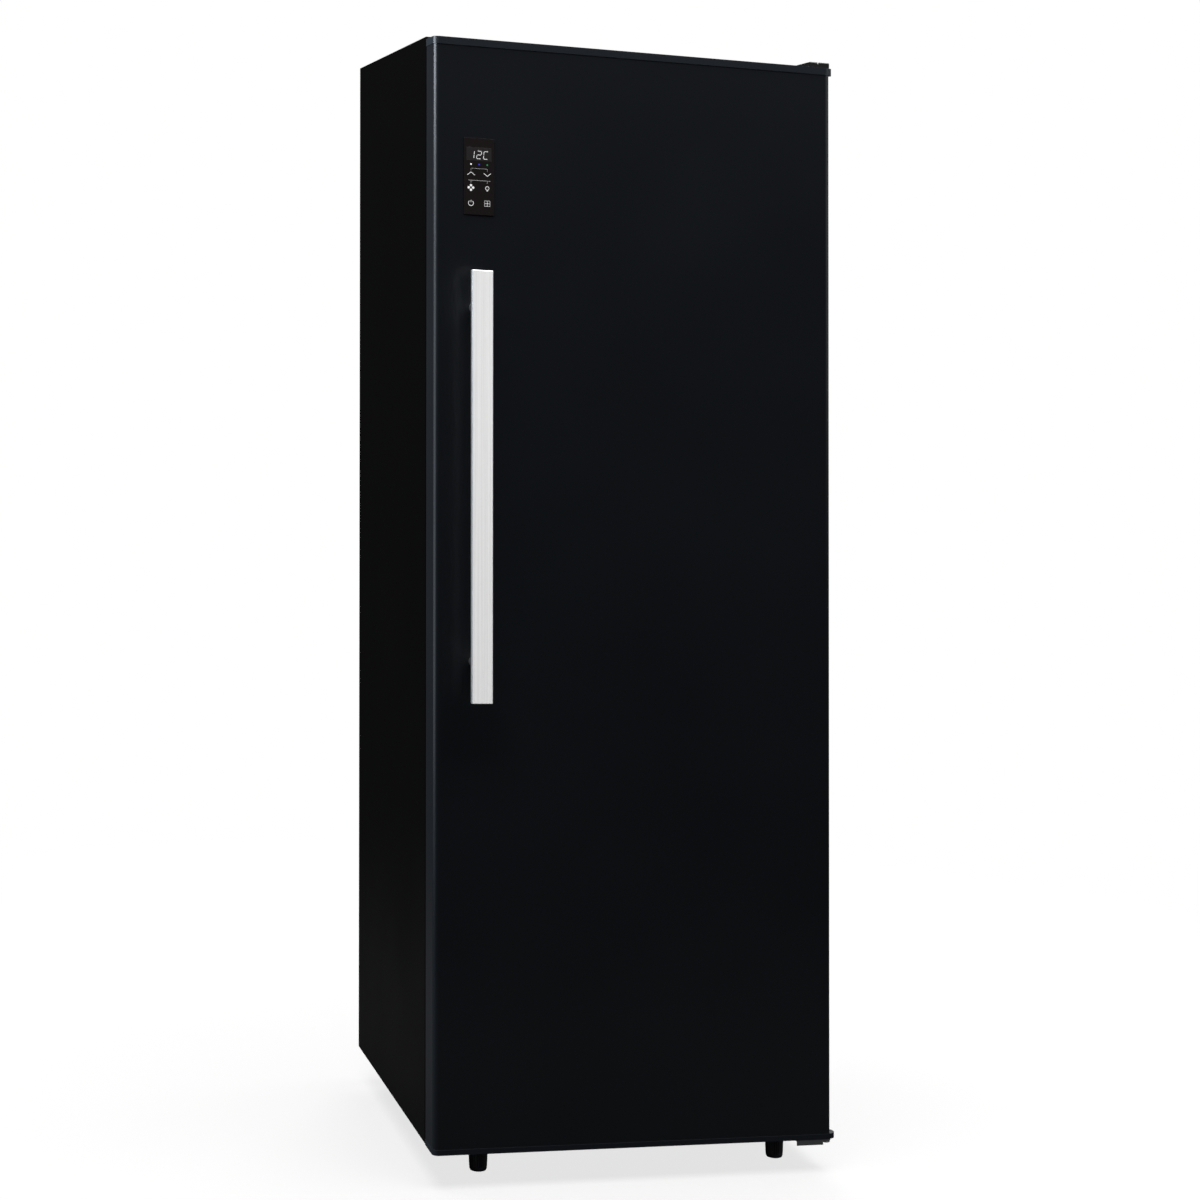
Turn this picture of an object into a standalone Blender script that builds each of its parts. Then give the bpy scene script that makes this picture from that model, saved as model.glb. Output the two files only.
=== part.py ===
"""A full-height wine cooler with one solid door, slatted shelves and a rear machine compartment.

Sizes are in metres. Pieces are drawn with x = 0 on the cabinet's centre line, y = 0 on its front
edge and z = 0 on the floor. The "placement" empty then brings the middle of the footprint to the
origin. Left and right are as seen by someone facing the door.
"""
import math

import bmesh
import bpy
from mathutils import Matrix, Vector

# Fits
GAP = 0.0003                # between two pieces that touch
RUNNING_GAP = 0.0004        # around a shaft, in radius
SEAL_GAP = 0.0004           # between the gasket's lip and the cabinet

# Cabinet
CABINET_W = 0.680
CABINET_D = 0.580
CABINET_H = 1.803
FLOOR_GAP = 0.056           # floor to the cabinet's underside
SHEET = 0.0012              # painted steel
FLANGE_W = 0.022            # the shell's return around the door opening
BACK_RIM = 0.010            # the shell reaches this far behind the back panel
PAN_T = 0.002
FRAME_T = 0.006

# Insulated walls, from the outside of the shell to the outside of the liner
SIDE_WALL = 0.050
TOP_WALL = 0.055
BOTTOM_WALL = 0.060
REAR_WALL = 0.050
STEP_WALL = 0.045           # between the machine compartment and the liner
LINER_T = 0.0025

# Machine compartment
MACHINE_H = 0.270
MACHINE_D = 0.235
TRAY_T = 0.0025
TRAY_LIP = 0.022

# Door
DOOR_GAP = 0.006            # cabinet front to the door's back
DOOR_T = 0.060
DOOR_DROP = 0.005           # the door's top lies this far below the cabinet's top
DOOR_EDGE_R = 0.010
DOOR_LIP = 0.012            # the skin's return behind the door
TOP_CAP_H = 0.012
BOTTOM_CAP_H = 0.009
CAP_PROUD = 0.0008          # the caps stand out from the skin
DOOR_LINER_T = 0.0025
PAD_REACH = 0.012           # the liner's raised pad stands this far behind the door
PAD_CLEARANCE = 0.007       # between the pad and the opening
GASKET_INSET = 0.022
GASKET_W = 0.016

# Hinges
HINGE_INSET = 0.004         # the axis, from the door's right side
HINGE_DEPTH = 0.0145        # the axis, from the door's face
HINGE_PIN_R = 0.003
PIN_LAND = 0.0005           # plate left beyond the pin
PIN_END_GAP = 0.003         # pin's end to the bottom of its bore
TOP_BOSS_R = 0.0105
BOTTOM_BOSS_R = 0.0135
HINGE_PLATE_T = 0.0025
HINGE_PLATE_W = 0.031
HINGE_PLATE_END = 0.006     # from the axis to the plate's front
HINGE_PLATE_REACH = 0.050   # over the cabinet
COVER_WALL = 0.0013
COVER_SLOPE = 0.006
BOTTOM_PLATE_T = 0.003
BOTTOM_PLATE_W = 0.054         # at its front
BOTTOM_PLATE_REAR_W = 0.040    # under the cabinet, beside the foot
BOTTOM_PLATE_STEP = 0.009      # the wide part ends this far behind the cabinet's front edge
BOTTOM_PLATE_GAP = 0.0024   # under the door
BOTTOM_PLATE_LIP = 0.009
BOTTOM_PLATE_END_R = 0.0075
WASHER_T = 0.0014
WASHER_R = 0.0085
PIN_HEAD_R = 0.0065
PIN_HEAD_H = 0.003

# Handle
HANDLE_L = 0.691
HANDLE_W = 0.035
HANDLE_T = 0.010
HANDLE_STANDOFF = 0.050
HANDLE_CENTRE = 0.066       # from the door's left side
HANDLE_DROP = 0.3755        # from the door's top to the bar's top
POST_R = 0.009
POST_INSET = 0.0605         # from the bar's end to the post's axis

# Control panel
PANEL_W = 0.0505
PANEL_H = 0.124
PANEL_T = 0.0012
PANEL_LEFT = 0.048
PANEL_DROP = 0.161
PANEL_RIM = 0.004           # the panel overlaps its window in the skin
BOARD_T = 0.0016
BOARD_DEPTH = 0.008         # behind the skin

# Shelves
SHELF_COUNT = 6
FIRST_SHELF_Z = 0.035       # above the step in the liner
SHELF_SIDE_GAP = 0.002
SHELF_FRONT = 0.030         # behind the cabinet's front edge
GROOVE_D = 0.011            # into the liner's side wall
GROOVE_CLEARANCE = 0.002    # above the slats
SLAT_REACH = 0.009          # the slats' ends, into the groove
SLAT_COUNT = 7
SLAT_W = 0.036
SLAT_T = 0.009
RAIL_W = 0.022
RAIL_T = 0.012
SHELF_FACE_H = 0.030
SHELF_FACE_T = 0.014

# Air duct, fan and cooling
DUCT_W = 0.360
DUCT_D = 0.048
DUCT_WALL = 0.002
DUCT_MARGIN = 0.020         # to the ceiling and to the step
DUCT_CLEARANCE = 0.008      # shelves to the duct
FAN_DROP = 0.085            # from the duct's top to the fan's axis
FAN_R = 0.052
GRILLE_T = 0.004
GRILLE_BAR = 0.003
GRILLE_RIM = 0.006          # the grille lies this far over the duct around the hole
GRILLE_HUB_R = 0.009
MOTOR_R = 0.016
MOTOR_L = 0.018
SHAFT_R = 0.002
HUB_R = 0.019
HUB_L = 0.015
BLADE_R = 0.047
BLADE_T = 0.0018
BLADE_COUNT = 5
EVAPORATOR_T = 0.006

# Compressor
COMPRESSOR_R = 0.074
COMPRESSOR_H = 0.170
COMPRESSOR_X = -0.090
GROMMET_R = 0.012
GROMMET_H = 0.014
FOOT_PLATE = (0.215, 0.120, 0.003)
DRIP_TRAY = (0.190, 0.150, 0.032)
PIPE_R = 0.003
DRIER_R = 0.009

# Condenser on the back
CONDENSER_W = 0.400
CONDENSER_TOP = 0.250       # below the cabinet's top
CONDENSER_BASE = 0.110      # above the machine compartment
CONDENSER_GAP = 0.014       # back panel to the tube's axis
CONDENSER_R = 0.0025
CONDENSER_RUNS = 11
WIRE_T = 0.0015
WIRE_COUNT = 17
STRIP_W = 0.012

# Feet and rollers
FOOT_LEFT = 0.096           # from the cabinet's left side to the foot's axis
FOOT_RIGHT = 0.067          # from the cabinet's right side to the foot's axis
FOOT_FRONT = 0.030          # from the cabinet's front edge to the foot's axis
FOOT_TOP_R = 0.0165
FOOT_BASE_R = 0.0145
FOOT_CLEARANCE = 0.003      # foot to cabinet
FOOT_RIBS = 16
STEM_R = 0.005
STEM_REACH = 0.018          # into the cabinet
ROLLER_CLEARANCE = 0.004    # roller to tray
ROLLER_W = 0.018
ROLLER_SIDE = 0.060
ROLLER_REAR = 0.055         # from the back panel to the axle
AXLE_R = 0.003
LUG_T = 0.003
LUG_W = 0.022

# What follows from the sizes above
RIGHT = CABINET_W / 2
LEFT = -RIGHT
BOTTOM = FLOOR_GAP
TOP = FLOOR_GAP + CABINET_H
BACK = CABINET_D - BACK_RIM
STEP_Y = BACK - MACHINE_D
STEP_Z = BOTTOM + MACHINE_H
INNER_W = CABINET_W - 2 * (SHEET + GAP)

ROLLER_R = (FLOOR_GAP - ROLLER_CLEARANCE) / 2

LINER_SIDE = RIGHT - SIDE_WALL
LINER_FRONT = FRAME_T + GAP
LINER_BACK = BACK - REAR_WALL
LINER_BOTTOM = BOTTOM + BOTTOM_WALL
LINER_TOP = TOP - TOP_WALL
LINER_STEP_Y = STEP_Y - STEP_WALL
LINER_STEP_Z = STEP_Z + STEP_WALL
ROOM_SIDE = LINER_SIDE - LINER_T
ROOM_TOP = LINER_TOP - LINER_T
ROOM_BOTTOM = LINER_BOTTOM + LINER_T
ROOM_BACK = LINER_BACK - LINER_T
DUCT_FRONT = ROOM_BACK - DUCT_D

DOOR_BACK = -DOOR_GAP
DOOR_FACE = DOOR_BACK - DOOR_T
DOOR_BOTTOM = BOTTOM
DOOR_TOP = TOP - DOOR_DROP
SKIN_BOTTOM = DOOR_BOTTOM + BOTTOM_CAP_H + GAP
SKIN_TOP = DOOR_TOP - TOP_CAP_H - GAP
PIN_X = RIGHT - HINGE_INSET
PIN_Y = DOOR_FACE + HINGE_DEPTH

SHELF_Z = [LINER_STEP_Z + FIRST_SHELF_Z
           + i * (ROOM_TOP - LINER_STEP_Z - FIRST_SHELF_Z) / SHELF_COUNT
           for i in range(SHELF_COUNT)]
SHELF_BACK = DUCT_FRONT - DUCT_CLEARANCE
GROOVE_H = SLAT_T + GAP + GROOVE_CLEARANCE
CONDENSER_Y = BACK + CONDENSER_GAP
MODEL_LEFT = LEFT - CAP_PROUD
MODEL_RIGHT = PIN_X + BOTTOM_BOSS_R
MODEL_FRONT = DOOR_FACE - HANDLE_STANDOFF - HANDLE_T
MODEL_BACK = CONDENSER_Y + DRIER_R


# Scene, materials and placing

def clear_scene():
    """Remove whatever the scene holds."""
    for thing in list(bpy.data.objects):
        bpy.data.objects.remove(thing, do_unlink=True)


def finish(name, colour, roughness, metallic=0.0):
    """Make a plain surface."""
    made = bpy.data.materials.new(name)
    made.use_nodes = True
    surface = made.node_tree.nodes["Principled BSDF"]
    surface.inputs["Base Color"].default_value = (*colour, 1.0)
    surface.inputs["Roughness"].default_value = roughness
    surface.inputs["Metallic"].default_value = metallic
    return made


def empty(name, location, parent=None):
    """Make an axis or a mounting point, given in the drawing's coordinates."""
    made = bpy.data.objects.new(name, None)
    bpy.context.scene.collection.objects.link(made)
    made.location = location
    made["drawn_at"] = location
    made.parent = parent
    return made


def hang(thing, parent):
    """Hang a piece or an axis, drawn in the drawing's coordinates, on an axis."""
    thing.parent = parent
    thing.location = Vector(thing.location) - Vector(parent["drawn_at"])


# Shapes

def add_piece(name, shape, surface):
    """Turn a bmesh into a named piece."""
    bmesh.ops.recalc_face_normals(shape, faces=shape.faces)
    mesh = bpy.data.meshes.new(name)
    shape.to_mesh(mesh)
    shape.free()
    mesh.materials.append(surface)
    made = bpy.data.objects.new(name, mesh)
    bpy.context.scene.collection.objects.link(made)
    return made


def add_box(shape, x, y, z):
    """Add a box from its (low, high) pair on each axis."""
    size = [high - low for low, high in (x, y, z)]
    middle = [(high + low) / 2 for low, high in (x, y, z)]
    matrix = Matrix.Translation(middle) @ Matrix.Diagonal((*size, 1.0))
    bmesh.ops.create_cube(shape, size=1.0, matrix=matrix)


def boxes(name, surface, *sizes):
    """One piece, or one tool, from separate boxes."""
    shape = bmesh.new()
    for size in sizes:
        add_box(shape, *size)
    return add_piece(name, shape, surface)


def prism(name, surface, outline, axis, start, end):
    """Extrude an outline along X, Y or Z. Its points hold the other two axes, in X, Y, Z order."""
    place = {"X": lambda a, b: (start, a, b),
             "Y": lambda a, b: (a, start, b),
             "Z": lambda a, b: (a, b, start)}[axis]
    along = {"X": (end - start, 0, 0), "Y": (0, end - start, 0), "Z": (0, 0, end - start)}[axis]
    shape = bmesh.new()
    face = shape.faces.new([shape.verts.new(place(a, b)) for a, b in outline])
    moved = bmesh.ops.extrude_face_region(shape, geom=[face])["geom"]
    corners = [item for item in moved if isinstance(item, bmesh.types.BMVert)]
    bmesh.ops.translate(shape, verts=corners, vec=along)
    return add_piece(name, shape, surface)


def turned(name, surface, profile, middle, axis="Z", steps=32, hollow=False):
    """Turn a profile of (radius, height) points. A hollow profile is a closed loop off the axis."""
    shape = bmesh.new()
    points = [shape.verts.new((radius, 0.0, height)) for radius, height in profile]
    edges = [shape.edges.new(pair) for pair in zip(points, points[1:])]
    if hollow:
        edges.append(shape.edges.new((points[-1], points[0])))
    bmesh.ops.spin(shape, geom=points + edges, axis=(0, 0, 1), cent=(0, 0, 0),
                   dvec=(0, 0, 0), angle=2 * math.pi, steps=steps)
    bmesh.ops.remove_doubles(shape, verts=shape.verts, dist=1e-6)
    turn = {"X": Matrix.Rotation(math.pi / 2, 4, "Y"),
            "Y": Matrix.Rotation(-math.pi / 2, 4, "X"),
            "Z": Matrix.Identity(4)}[axis]
    bmesh.ops.transform(shape, matrix=Matrix.Translation(middle) @ turn, verts=shape.verts)
    return add_piece(name, shape, surface)


def rod(name, surface, radius, middle, axis, start, end, steps=24):
    """A round bar from start to end along its axis, measured from the middle point."""
    profile = [(0, start), (radius, start), (radius, end), (0, end)]
    return turned(name, surface, profile, middle, axis, steps)


def ring(name, surface, inner, outer, middle, axis, start, end, steps=32):
    """A round bar with a round hole through it."""
    profile = [(inner, start), (outer, start), (outer, end), (inner, end)]
    return turned(name, surface, profile, middle, axis, steps, hollow=True)


def combine(target, tool, operation):
    """Join, or cut, one piece with another, and remove the other."""
    modifier = target.modifiers.new(tool.name, "BOOLEAN")
    modifier.operation = operation
    modifier.solver = "EXACT"
    modifier.object = tool
    bpy.context.view_layer.update()
    view = bpy.context.evaluated_depsgraph_get()
    result = bpy.data.meshes.new_from_object(target.evaluated_get(view))
    surface = target.data.materials[0]
    target.modifiers.clear()
    target.data = result
    result.name = target.name
    result.materials.clear()
    result.materials.append(surface)
    bpy.data.objects.remove(tool, do_unlink=True)
    return target


def join(target, *tools):
    """Weld pieces into one solid."""
    for tool in tools:
        combine(target, tool, "UNION")
    return target


def cut(target, *tools):
    """Cut pieces out of a solid."""
    for tool in tools:
        combine(target, tool, "DIFFERENCE")
    return target


def soften(piece, width, segments=2, angle=60):
    """Round the edges that are sharper than the angle."""
    modifier = piece.modifiers.new("soft_edges", "BEVEL")
    modifier.width = width
    modifier.segments = segments
    modifier.limit_method = "ANGLE"
    modifier.angle_limit = math.radians(angle)
    return piece


def pipe(name, surface, radius, points):
    """A capped round pipe along a polyline."""
    curve = bpy.data.curves.new(name, "CURVE")
    curve.dimensions = "3D"
    curve.bevel_depth = radius
    curve.bevel_resolution = 1
    curve.use_fill_caps = True
    line = curve.splines.new("POLY")
    line.points.add(len(points) - 1)
    for point, place in zip(line.points, points):
        point.co = (*place, 1.0)
    curve.materials.append(surface)
    made = bpy.data.objects.new(name, curve)
    bpy.context.scene.collection.objects.link(made)
    return made


def bend(corner, start, end, radius, steps=3):
    """Points that round the corner between two straight runs."""
    corner, start, end = Vector(corner), Vector(start), Vector(end)
    come = (start - corner).normalized()
    leave = (end - corner).normalized()
    first = corner + come * radius
    last = corner + leave * radius
    middle = first + last - corner
    points = []
    for i in range(steps + 1):
        turn = math.pi / 2 * i / steps
        points.append(middle + (first - middle) * math.cos(turn) + (last - middle) * math.sin(turn))
    return points


def routed(points, radius):
    """A route through square corners, each one rounded."""
    route = [Vector(points[0])]
    for before, corner, after in zip(points, points[1:], points[2:]):
        route += bend(corner, before, after, radius)
    route.append(Vector(points[-1]))
    return route


def arc(middle, radius, start, end, steps=6):
    """Points on an arc, angles in degrees."""
    angles = [math.radians(start + (end - start) * i / steps) for i in range(steps + 1)]
    return [(middle[0] + radius * math.cos(a), middle[1] + radius * math.sin(a)) for a in angles]


# Cabinet

def step_outline(front, back, bottom, top, step_y, step_z):
    """The side view of the insulated space: a rectangle with the compartment's corner missing."""
    return [(front, bottom), (step_y, bottom), (step_y, step_z), (back, step_z), (back, top),
            (front, top)]


def shell_outline(depth):
    """The front view of the folded shell, as thick as given: a side, the top and a side."""
    return [(LEFT, BOTTOM), (LEFT, TOP), (RIGHT, TOP), (RIGHT, BOTTOM), (RIGHT - depth, BOTTOM),
            (RIGHT - depth, TOP - depth), (LEFT + depth, TOP - depth), (LEFT + depth, BOTTOM)]


def make_shell(paint, zinc):
    """The folded shell, the bent back panel and the base pan with its front lip."""
    shell = prism("outer_shell", paint, shell_outline(SHEET), "Y", 0, CABINET_D)
    join(shell, prism("flange", paint, shell_outline(FLANGE_W), "Y", 0, SHEET))

    panel_top = TOP - SHEET - GAP
    bent = [(BACK, panel_top), (BACK, STEP_Z), (STEP_Y, STEP_Z), (STEP_Y, BOTTOM),
            (STEP_Y - SHEET, BOTTOM), (STEP_Y - SHEET, STEP_Z + SHEET),
            (BACK - SHEET, STEP_Z + SHEET), (BACK - SHEET, panel_top)]
    back = prism("back_panel", paint, bent, "X", -INNER_W / 2, INNER_W / 2)

    pan = boxes("base_pan", zinc, ((-INNER_W / 2, INNER_W / 2),
                                   (SHEET + GAP, STEP_Y - SHEET - GAP),
                                   (BOTTOM, BOTTOM + PAN_T)))
    lip_side = RIGHT - FLANGE_W - GAP
    join(pan, boxes("lip", zinc, ((-lip_side, lip_side), (0, SHEET + GAP + PAN_T),
                                  (BOTTOM, BOTTOM + FLANGE_W))))
    for x in foot_places():
        cut(pan, rod("stem_hole", zinc, STEM_R + RUNNING_GAP, (x, FOOT_FRONT, BOTTOM), "Z",
                     -PAN_T, 2 * PAN_T))
    return shell, back, pan


def groove_boxes(name, surface, front, wall):
    """A box across the cabinet through each pair of grooves, grown by a wall on every side."""
    side = ROOM_SIDE + GROOVE_D + wall
    return boxes(name, surface, *[((-side, side), (front, SHELF_BACK + GAP + wall),
                                   (z - wall, z + GROOVE_H + wall)) for z in SHELF_Z])


def make_insulation(foam, plastic):
    """The foam between shell and liner, and the liner with a groove for each shelf in its sides."""
    outer = step_outline(LINER_FRONT, BACK - SHEET - GAP, BOTTOM + PAN_T + GAP, TOP - SHEET - GAP,
                         STEP_Y - SHEET - GAP, STEP_Z + SHEET + GAP)
    block = prism("insulation", foam, outer, "X", -INNER_W / 2, INNER_W / 2)
    room = step_outline(-FRAME_T, LINER_BACK + GAP, LINER_BOTTOM - GAP, LINER_TOP + GAP,
                        LINER_STEP_Y + GAP, LINER_STEP_Z - GAP)
    cut(block, prism("room", foam, room, "X", -LINER_SIDE - GAP, LINER_SIDE + GAP))
    for x in foot_places():
        cut(block, rod("stem_pocket", foam, STEM_R + FOOT_CLEARANCE, (x, FOOT_FRONT, BOTTOM), "Z",
                       -PAN_T, STEM_REACH + FOOT_CLEARANCE))

    outside = step_outline(LINER_FRONT, LINER_BACK, LINER_BOTTOM, LINER_TOP, LINER_STEP_Y,
                           LINER_STEP_Z)
    liner = prism("inner_liner", plastic, outside, "X", -LINER_SIDE, LINER_SIDE)
    join(liner, groove_boxes("groove_wall", plastic, LINER_FRONT + GAP, LINER_T))
    inside = step_outline(-FRAME_T, ROOM_BACK, ROOM_BOTTOM, ROOM_TOP, LINER_STEP_Y - LINER_T,
                          LINER_STEP_Z + LINER_T)
    cut(liner, prism("inside", plastic, inside, "X", -ROOM_SIDE, ROOM_SIDE))
    cut(liner, groove_boxes("groove", plastic, -FRAME_T, 0.0))
    cut(block, groove_boxes("groove_room", foam, -FRAME_T, LINER_T + GAP))
    return block, liner


def make_front_frame(plastic):
    """The frame between liner and shell that the gasket closes on."""
    side = RIGHT - FLANGE_W - GAP
    frame = boxes("front_frame", plastic, ((-side, side), (0, FRAME_T),
                                           (BOTTOM + FLANGE_W + GAP, TOP - FLANGE_W - GAP)))
    cut(frame, boxes("opening", plastic, ((-ROOM_SIDE, ROOM_SIDE), (-FRAME_T, 2 * FRAME_T),
                                          (ROOM_BOTTOM, ROOM_TOP))))
    return cut(frame, groove_boxes("notch", plastic, -FRAME_T, 0.0))


def make_shelves(wood):
    """Slatted shelves: slats across, their ends in the grooves, on three rails, behind a face."""
    side = ROOM_SIDE - SHELF_SIDE_GAP
    reach = ROOM_SIDE + SLAT_REACH
    depth = SHELF_BACK - SHELF_FRONT
    pitch = (depth - SHELF_FACE_T - SLAT_W) / (SLAT_COUNT - 1)
    top = RAIL_T / 2 + SLAT_T
    slats = []
    for i in range(1, SLAT_COUNT):
        low = SHELF_FACE_T + i * pitch
        slats.append(((-reach, reach), (low, low + SLAT_W), (RAIL_T / 2, top)))
    shape = boxes("shelf", wood, *slats)
    for x in (-side, -RAIL_W / 2, side - RAIL_W):
        join(shape, boxes("rail", wood, ((x, x + RAIL_W), (SHELF_FACE_T / 2, depth),
                                         (-RAIL_T / 2, RAIL_T / 2 + GAP))))
    join(shape, boxes("face", wood, ((-side, side), (0, SHELF_FACE_T),
                                     (top - SHELF_FACE_H, top))))
    shelves = []
    for number, z in enumerate(SHELF_Z, 1):
        shelf = bpy.data.objects.new(f"shelf_{number}", shape.data)
        bpy.context.scene.collection.objects.link(shelf)
        shelf.location = (0, SHELF_FRONT, z + GAP - RAIL_T / 2)
        shelves.append(shelf)
    bpy.data.objects.remove(shape, do_unlink=True)
    return shelves


# Air and cooling inside

def make_duct(plastic):
    """The rear air duct cover: a shallow tray, open behind, with a fan hole and air slots."""
    low = LINER_STEP_Z + LINER_T + DUCT_MARGIN
    high = ROOM_TOP - DUCT_MARGIN
    duct = boxes("duct_cover", plastic, ((-DUCT_W / 2, DUCT_W / 2),
                                         (DUCT_FRONT, ROOM_BACK - GAP), (low, high)))
    cut(duct, boxes("duct_room", plastic,
                    ((-DUCT_W / 2 + DUCT_WALL, DUCT_W / 2 - DUCT_WALL),
                     (DUCT_FRONT + DUCT_WALL, ROOM_BACK + DUCT_WALL),
                     (low + DUCT_WALL, high - DUCT_WALL))))
    cut(duct, rod("fan_hole", plastic, FAN_R, fan_middle(), "Y", -DUCT_WALL, 2 * DUCT_WALL))
    slots = []
    for z in SHELF_Z[:-1]:
        for i in range(-2, 3):
            middle = i * DUCT_W / 6
            slots.append(((middle - DUCT_W / 15, middle + DUCT_W / 15),
                          (DUCT_FRONT - DUCT_WALL, DUCT_FRONT + 2 * DUCT_WALL),
                          (z + 0.120, z + 0.128)))
    cut(duct, boxes("slots", plastic, *slots))
    return duct


def fan_middle():
    """Where the fan's axis meets the front of the duct cover."""
    return (0, DUCT_FRONT, ROOM_TOP - DUCT_MARGIN - FAN_DROP)


def make_fan(plastic, steel):
    """The grille in front of the fan hole, the motor fixed behind its hub, and the impeller."""
    middle = fan_middle()
    grille = ring("fan_grille", plastic, FAN_R - GRILLE_BAR, FAN_R + GRILLE_RIM, middle, "Y",
                  -GAP - GRILLE_T, -GAP)
    middle_ring = FAN_R / 2
    join(grille, ring("circle", plastic, middle_ring - GRILLE_BAR, middle_ring, middle, "Y",
                      -GAP - GRILLE_T, -GAP, steps=24))
    join(grille, rod("hub", plastic, GRILLE_HUB_R, middle, "Y", -GAP - GRILLE_T, -GAP))
    for spoke in range(3):
        bar = boxes("spoke", plastic, ((-FAN_R, FAN_R), (-GAP - GRILLE_T, -GAP - GRILLE_T / 2),
                                       (-GRILLE_BAR / 2, GRILLE_BAR / 2)))
        bar.data.transform(Matrix.Translation(middle)
                           @ Matrix.Rotation(math.radians(60 * spoke + 30), 4, "Y"))
        join(grille, bar)

    shaft_end = MOTOR_L + HUB_L + 0.002
    profile = [(0, 0), (MOTOR_R, 0), (MOTOR_R, MOTOR_L - 0.002), (MOTOR_R - 0.002, MOTOR_L),
               (SHAFT_R, MOTOR_L), (SHAFT_R, shaft_end), (0, shaft_end)]
    motor = turned("fan_motor", steel, profile, middle, "Y", steps=24)

    start = MOTOR_L + 0.001
    impeller = ring("fan_impeller", plastic, SHAFT_R + RUNNING_GAP, HUB_R, middle, "Y",
                    start, start + HUB_L - 0.002, steps=24)
    for blade in range(BLADE_COUNT):
        vane = boxes("vane", plastic, ((HUB_R - 0.003, BLADE_R), (-BLADE_T / 2, BLADE_T / 2),
                                       (-0.011, 0.011)))
        vane.data.transform(Matrix.Rotation(math.radians(30), 4, "X"))
        place = Matrix.Translation((middle[0], middle[1] + start + HUB_L / 2 - 0.001, middle[2]))
        vane.data.transform(place @ Matrix.Rotation(2 * math.pi * blade / BLADE_COUNT, 4, "Y"))
        join(impeller, vane)
    return grille, motor, impeller


def make_inside_fittings(plastic, clear, metal, dark):
    """The evaporator behind the duct, the ceiling lamp's cover, the probe and the filter cap."""
    plate_back = ROOM_BACK - GAP
    low = LINER_STEP_Z + LINER_T + DUCT_MARGIN + 0.060
    high = fan_middle()[2] - FAN_R
    evaporator = boxes("evaporator", metal, ((-DUCT_W / 2 + 0.020, DUCT_W / 2 - 0.020),
                                             (plate_back - EVAPORATOR_T, plate_back),
                                             (low, high)))
    soften(evaporator, 0.0015, 1)

    lamp = boxes("lamp_cover", clear, ((-0.120, 0.120), (0.090, 0.125),
                                       (ROOM_TOP - GAP - 0.009, ROOM_TOP - GAP)))
    soften(lamp, 0.003, 2)

    wall = ROOM_SIDE - GAP
    probe_middle = (wall, SHELF_BACK - 0.060, SHELF_Z[-2] + 0.140)
    profile = [(0, 0), (0.011, 0), (0.011, -0.003), (0.0045, -0.006), (0.0045, -0.020),
               (0.0025, -0.024), (0, -0.024)]
    probe = turned("temperature_probe", plastic, profile, probe_middle, "X", steps=20)

    cap_middle = (-wall, SHELF_BACK - 0.090, SHELF_Z[-1] + 0.120)
    profile = [(0, 0), (0.034, 0), (0.034, 0.003), (0.030, 0.007), (0.012, 0.009), (0, 0.009)]
    cap = turned("air_filter_cap", dark, profile, cap_middle, "X", steps=28)
    return evaporator, lamp, probe, cap


# Machine compartment

def make_tray(zinc):
    """The compressor's tray, with a folded lip behind and a pair of lugs for each rear roller."""
    front = STEP_Y + GAP
    back = BACK - 0.004
    side = INNER_W / 2
    tray = boxes("compressor_tray", zinc, ((-side, side), (front, back),
                                           (BOTTOM, BOTTOM + TRAY_T)))
    join(tray, boxes("lip", zinc, ((-side, side), (back - TRAY_T, back),
                                   (BOTTOM, BOTTOM + TRAY_LIP))))
    axle_y = BACK - ROLLER_REAR
    for x in roller_places():
        for edge in (x - ROLLER_W / 2 - 0.001 - LUG_T, x + ROLLER_W / 2 + 0.001):
            lug = boxes("lug", zinc, ((edge, edge + LUG_T), (axle_y - LUG_W / 2, axle_y + LUG_W / 2),
                                      (ROLLER_R - LUG_W / 2 + 0.002, BOTTOM + TRAY_T / 2)))
            cut(lug, rod("axle_hole", zinc, AXLE_R + GAP, (edge, axle_y, ROLLER_R), "X",
                         -LUG_T, 2 * LUG_T, steps=20))
            join(tray, lug)
    cut(tray, rod("gland_hole", zinc, 0.008 + GAP, gland_middle(), "Y", -TRAY_T, TRAY_T))
    return tray


def gland_middle():
    """The cord gland's middle, on the back of the tray's lip."""
    return (0.180, BACK - 0.004 - TRAY_T / 2, BOTTOM + TRAY_LIP / 2 + 0.001)


def make_gland(rubber):
    """The gland that the mains cord would leave through: a flanged bush, held by the lip."""
    half = TRAY_T / 2 + GAP
    profile = [(0.0038, -half - 0.004), (0.0075, -half - 0.004), (0.0075, half),
               (0.0095, half), (0.0095, half + 0.003), (0.0038, half + 0.003)]
    return turned("cord_gland", rubber, profile, gland_middle(), "Y", steps=24, hollow=True)


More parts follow.
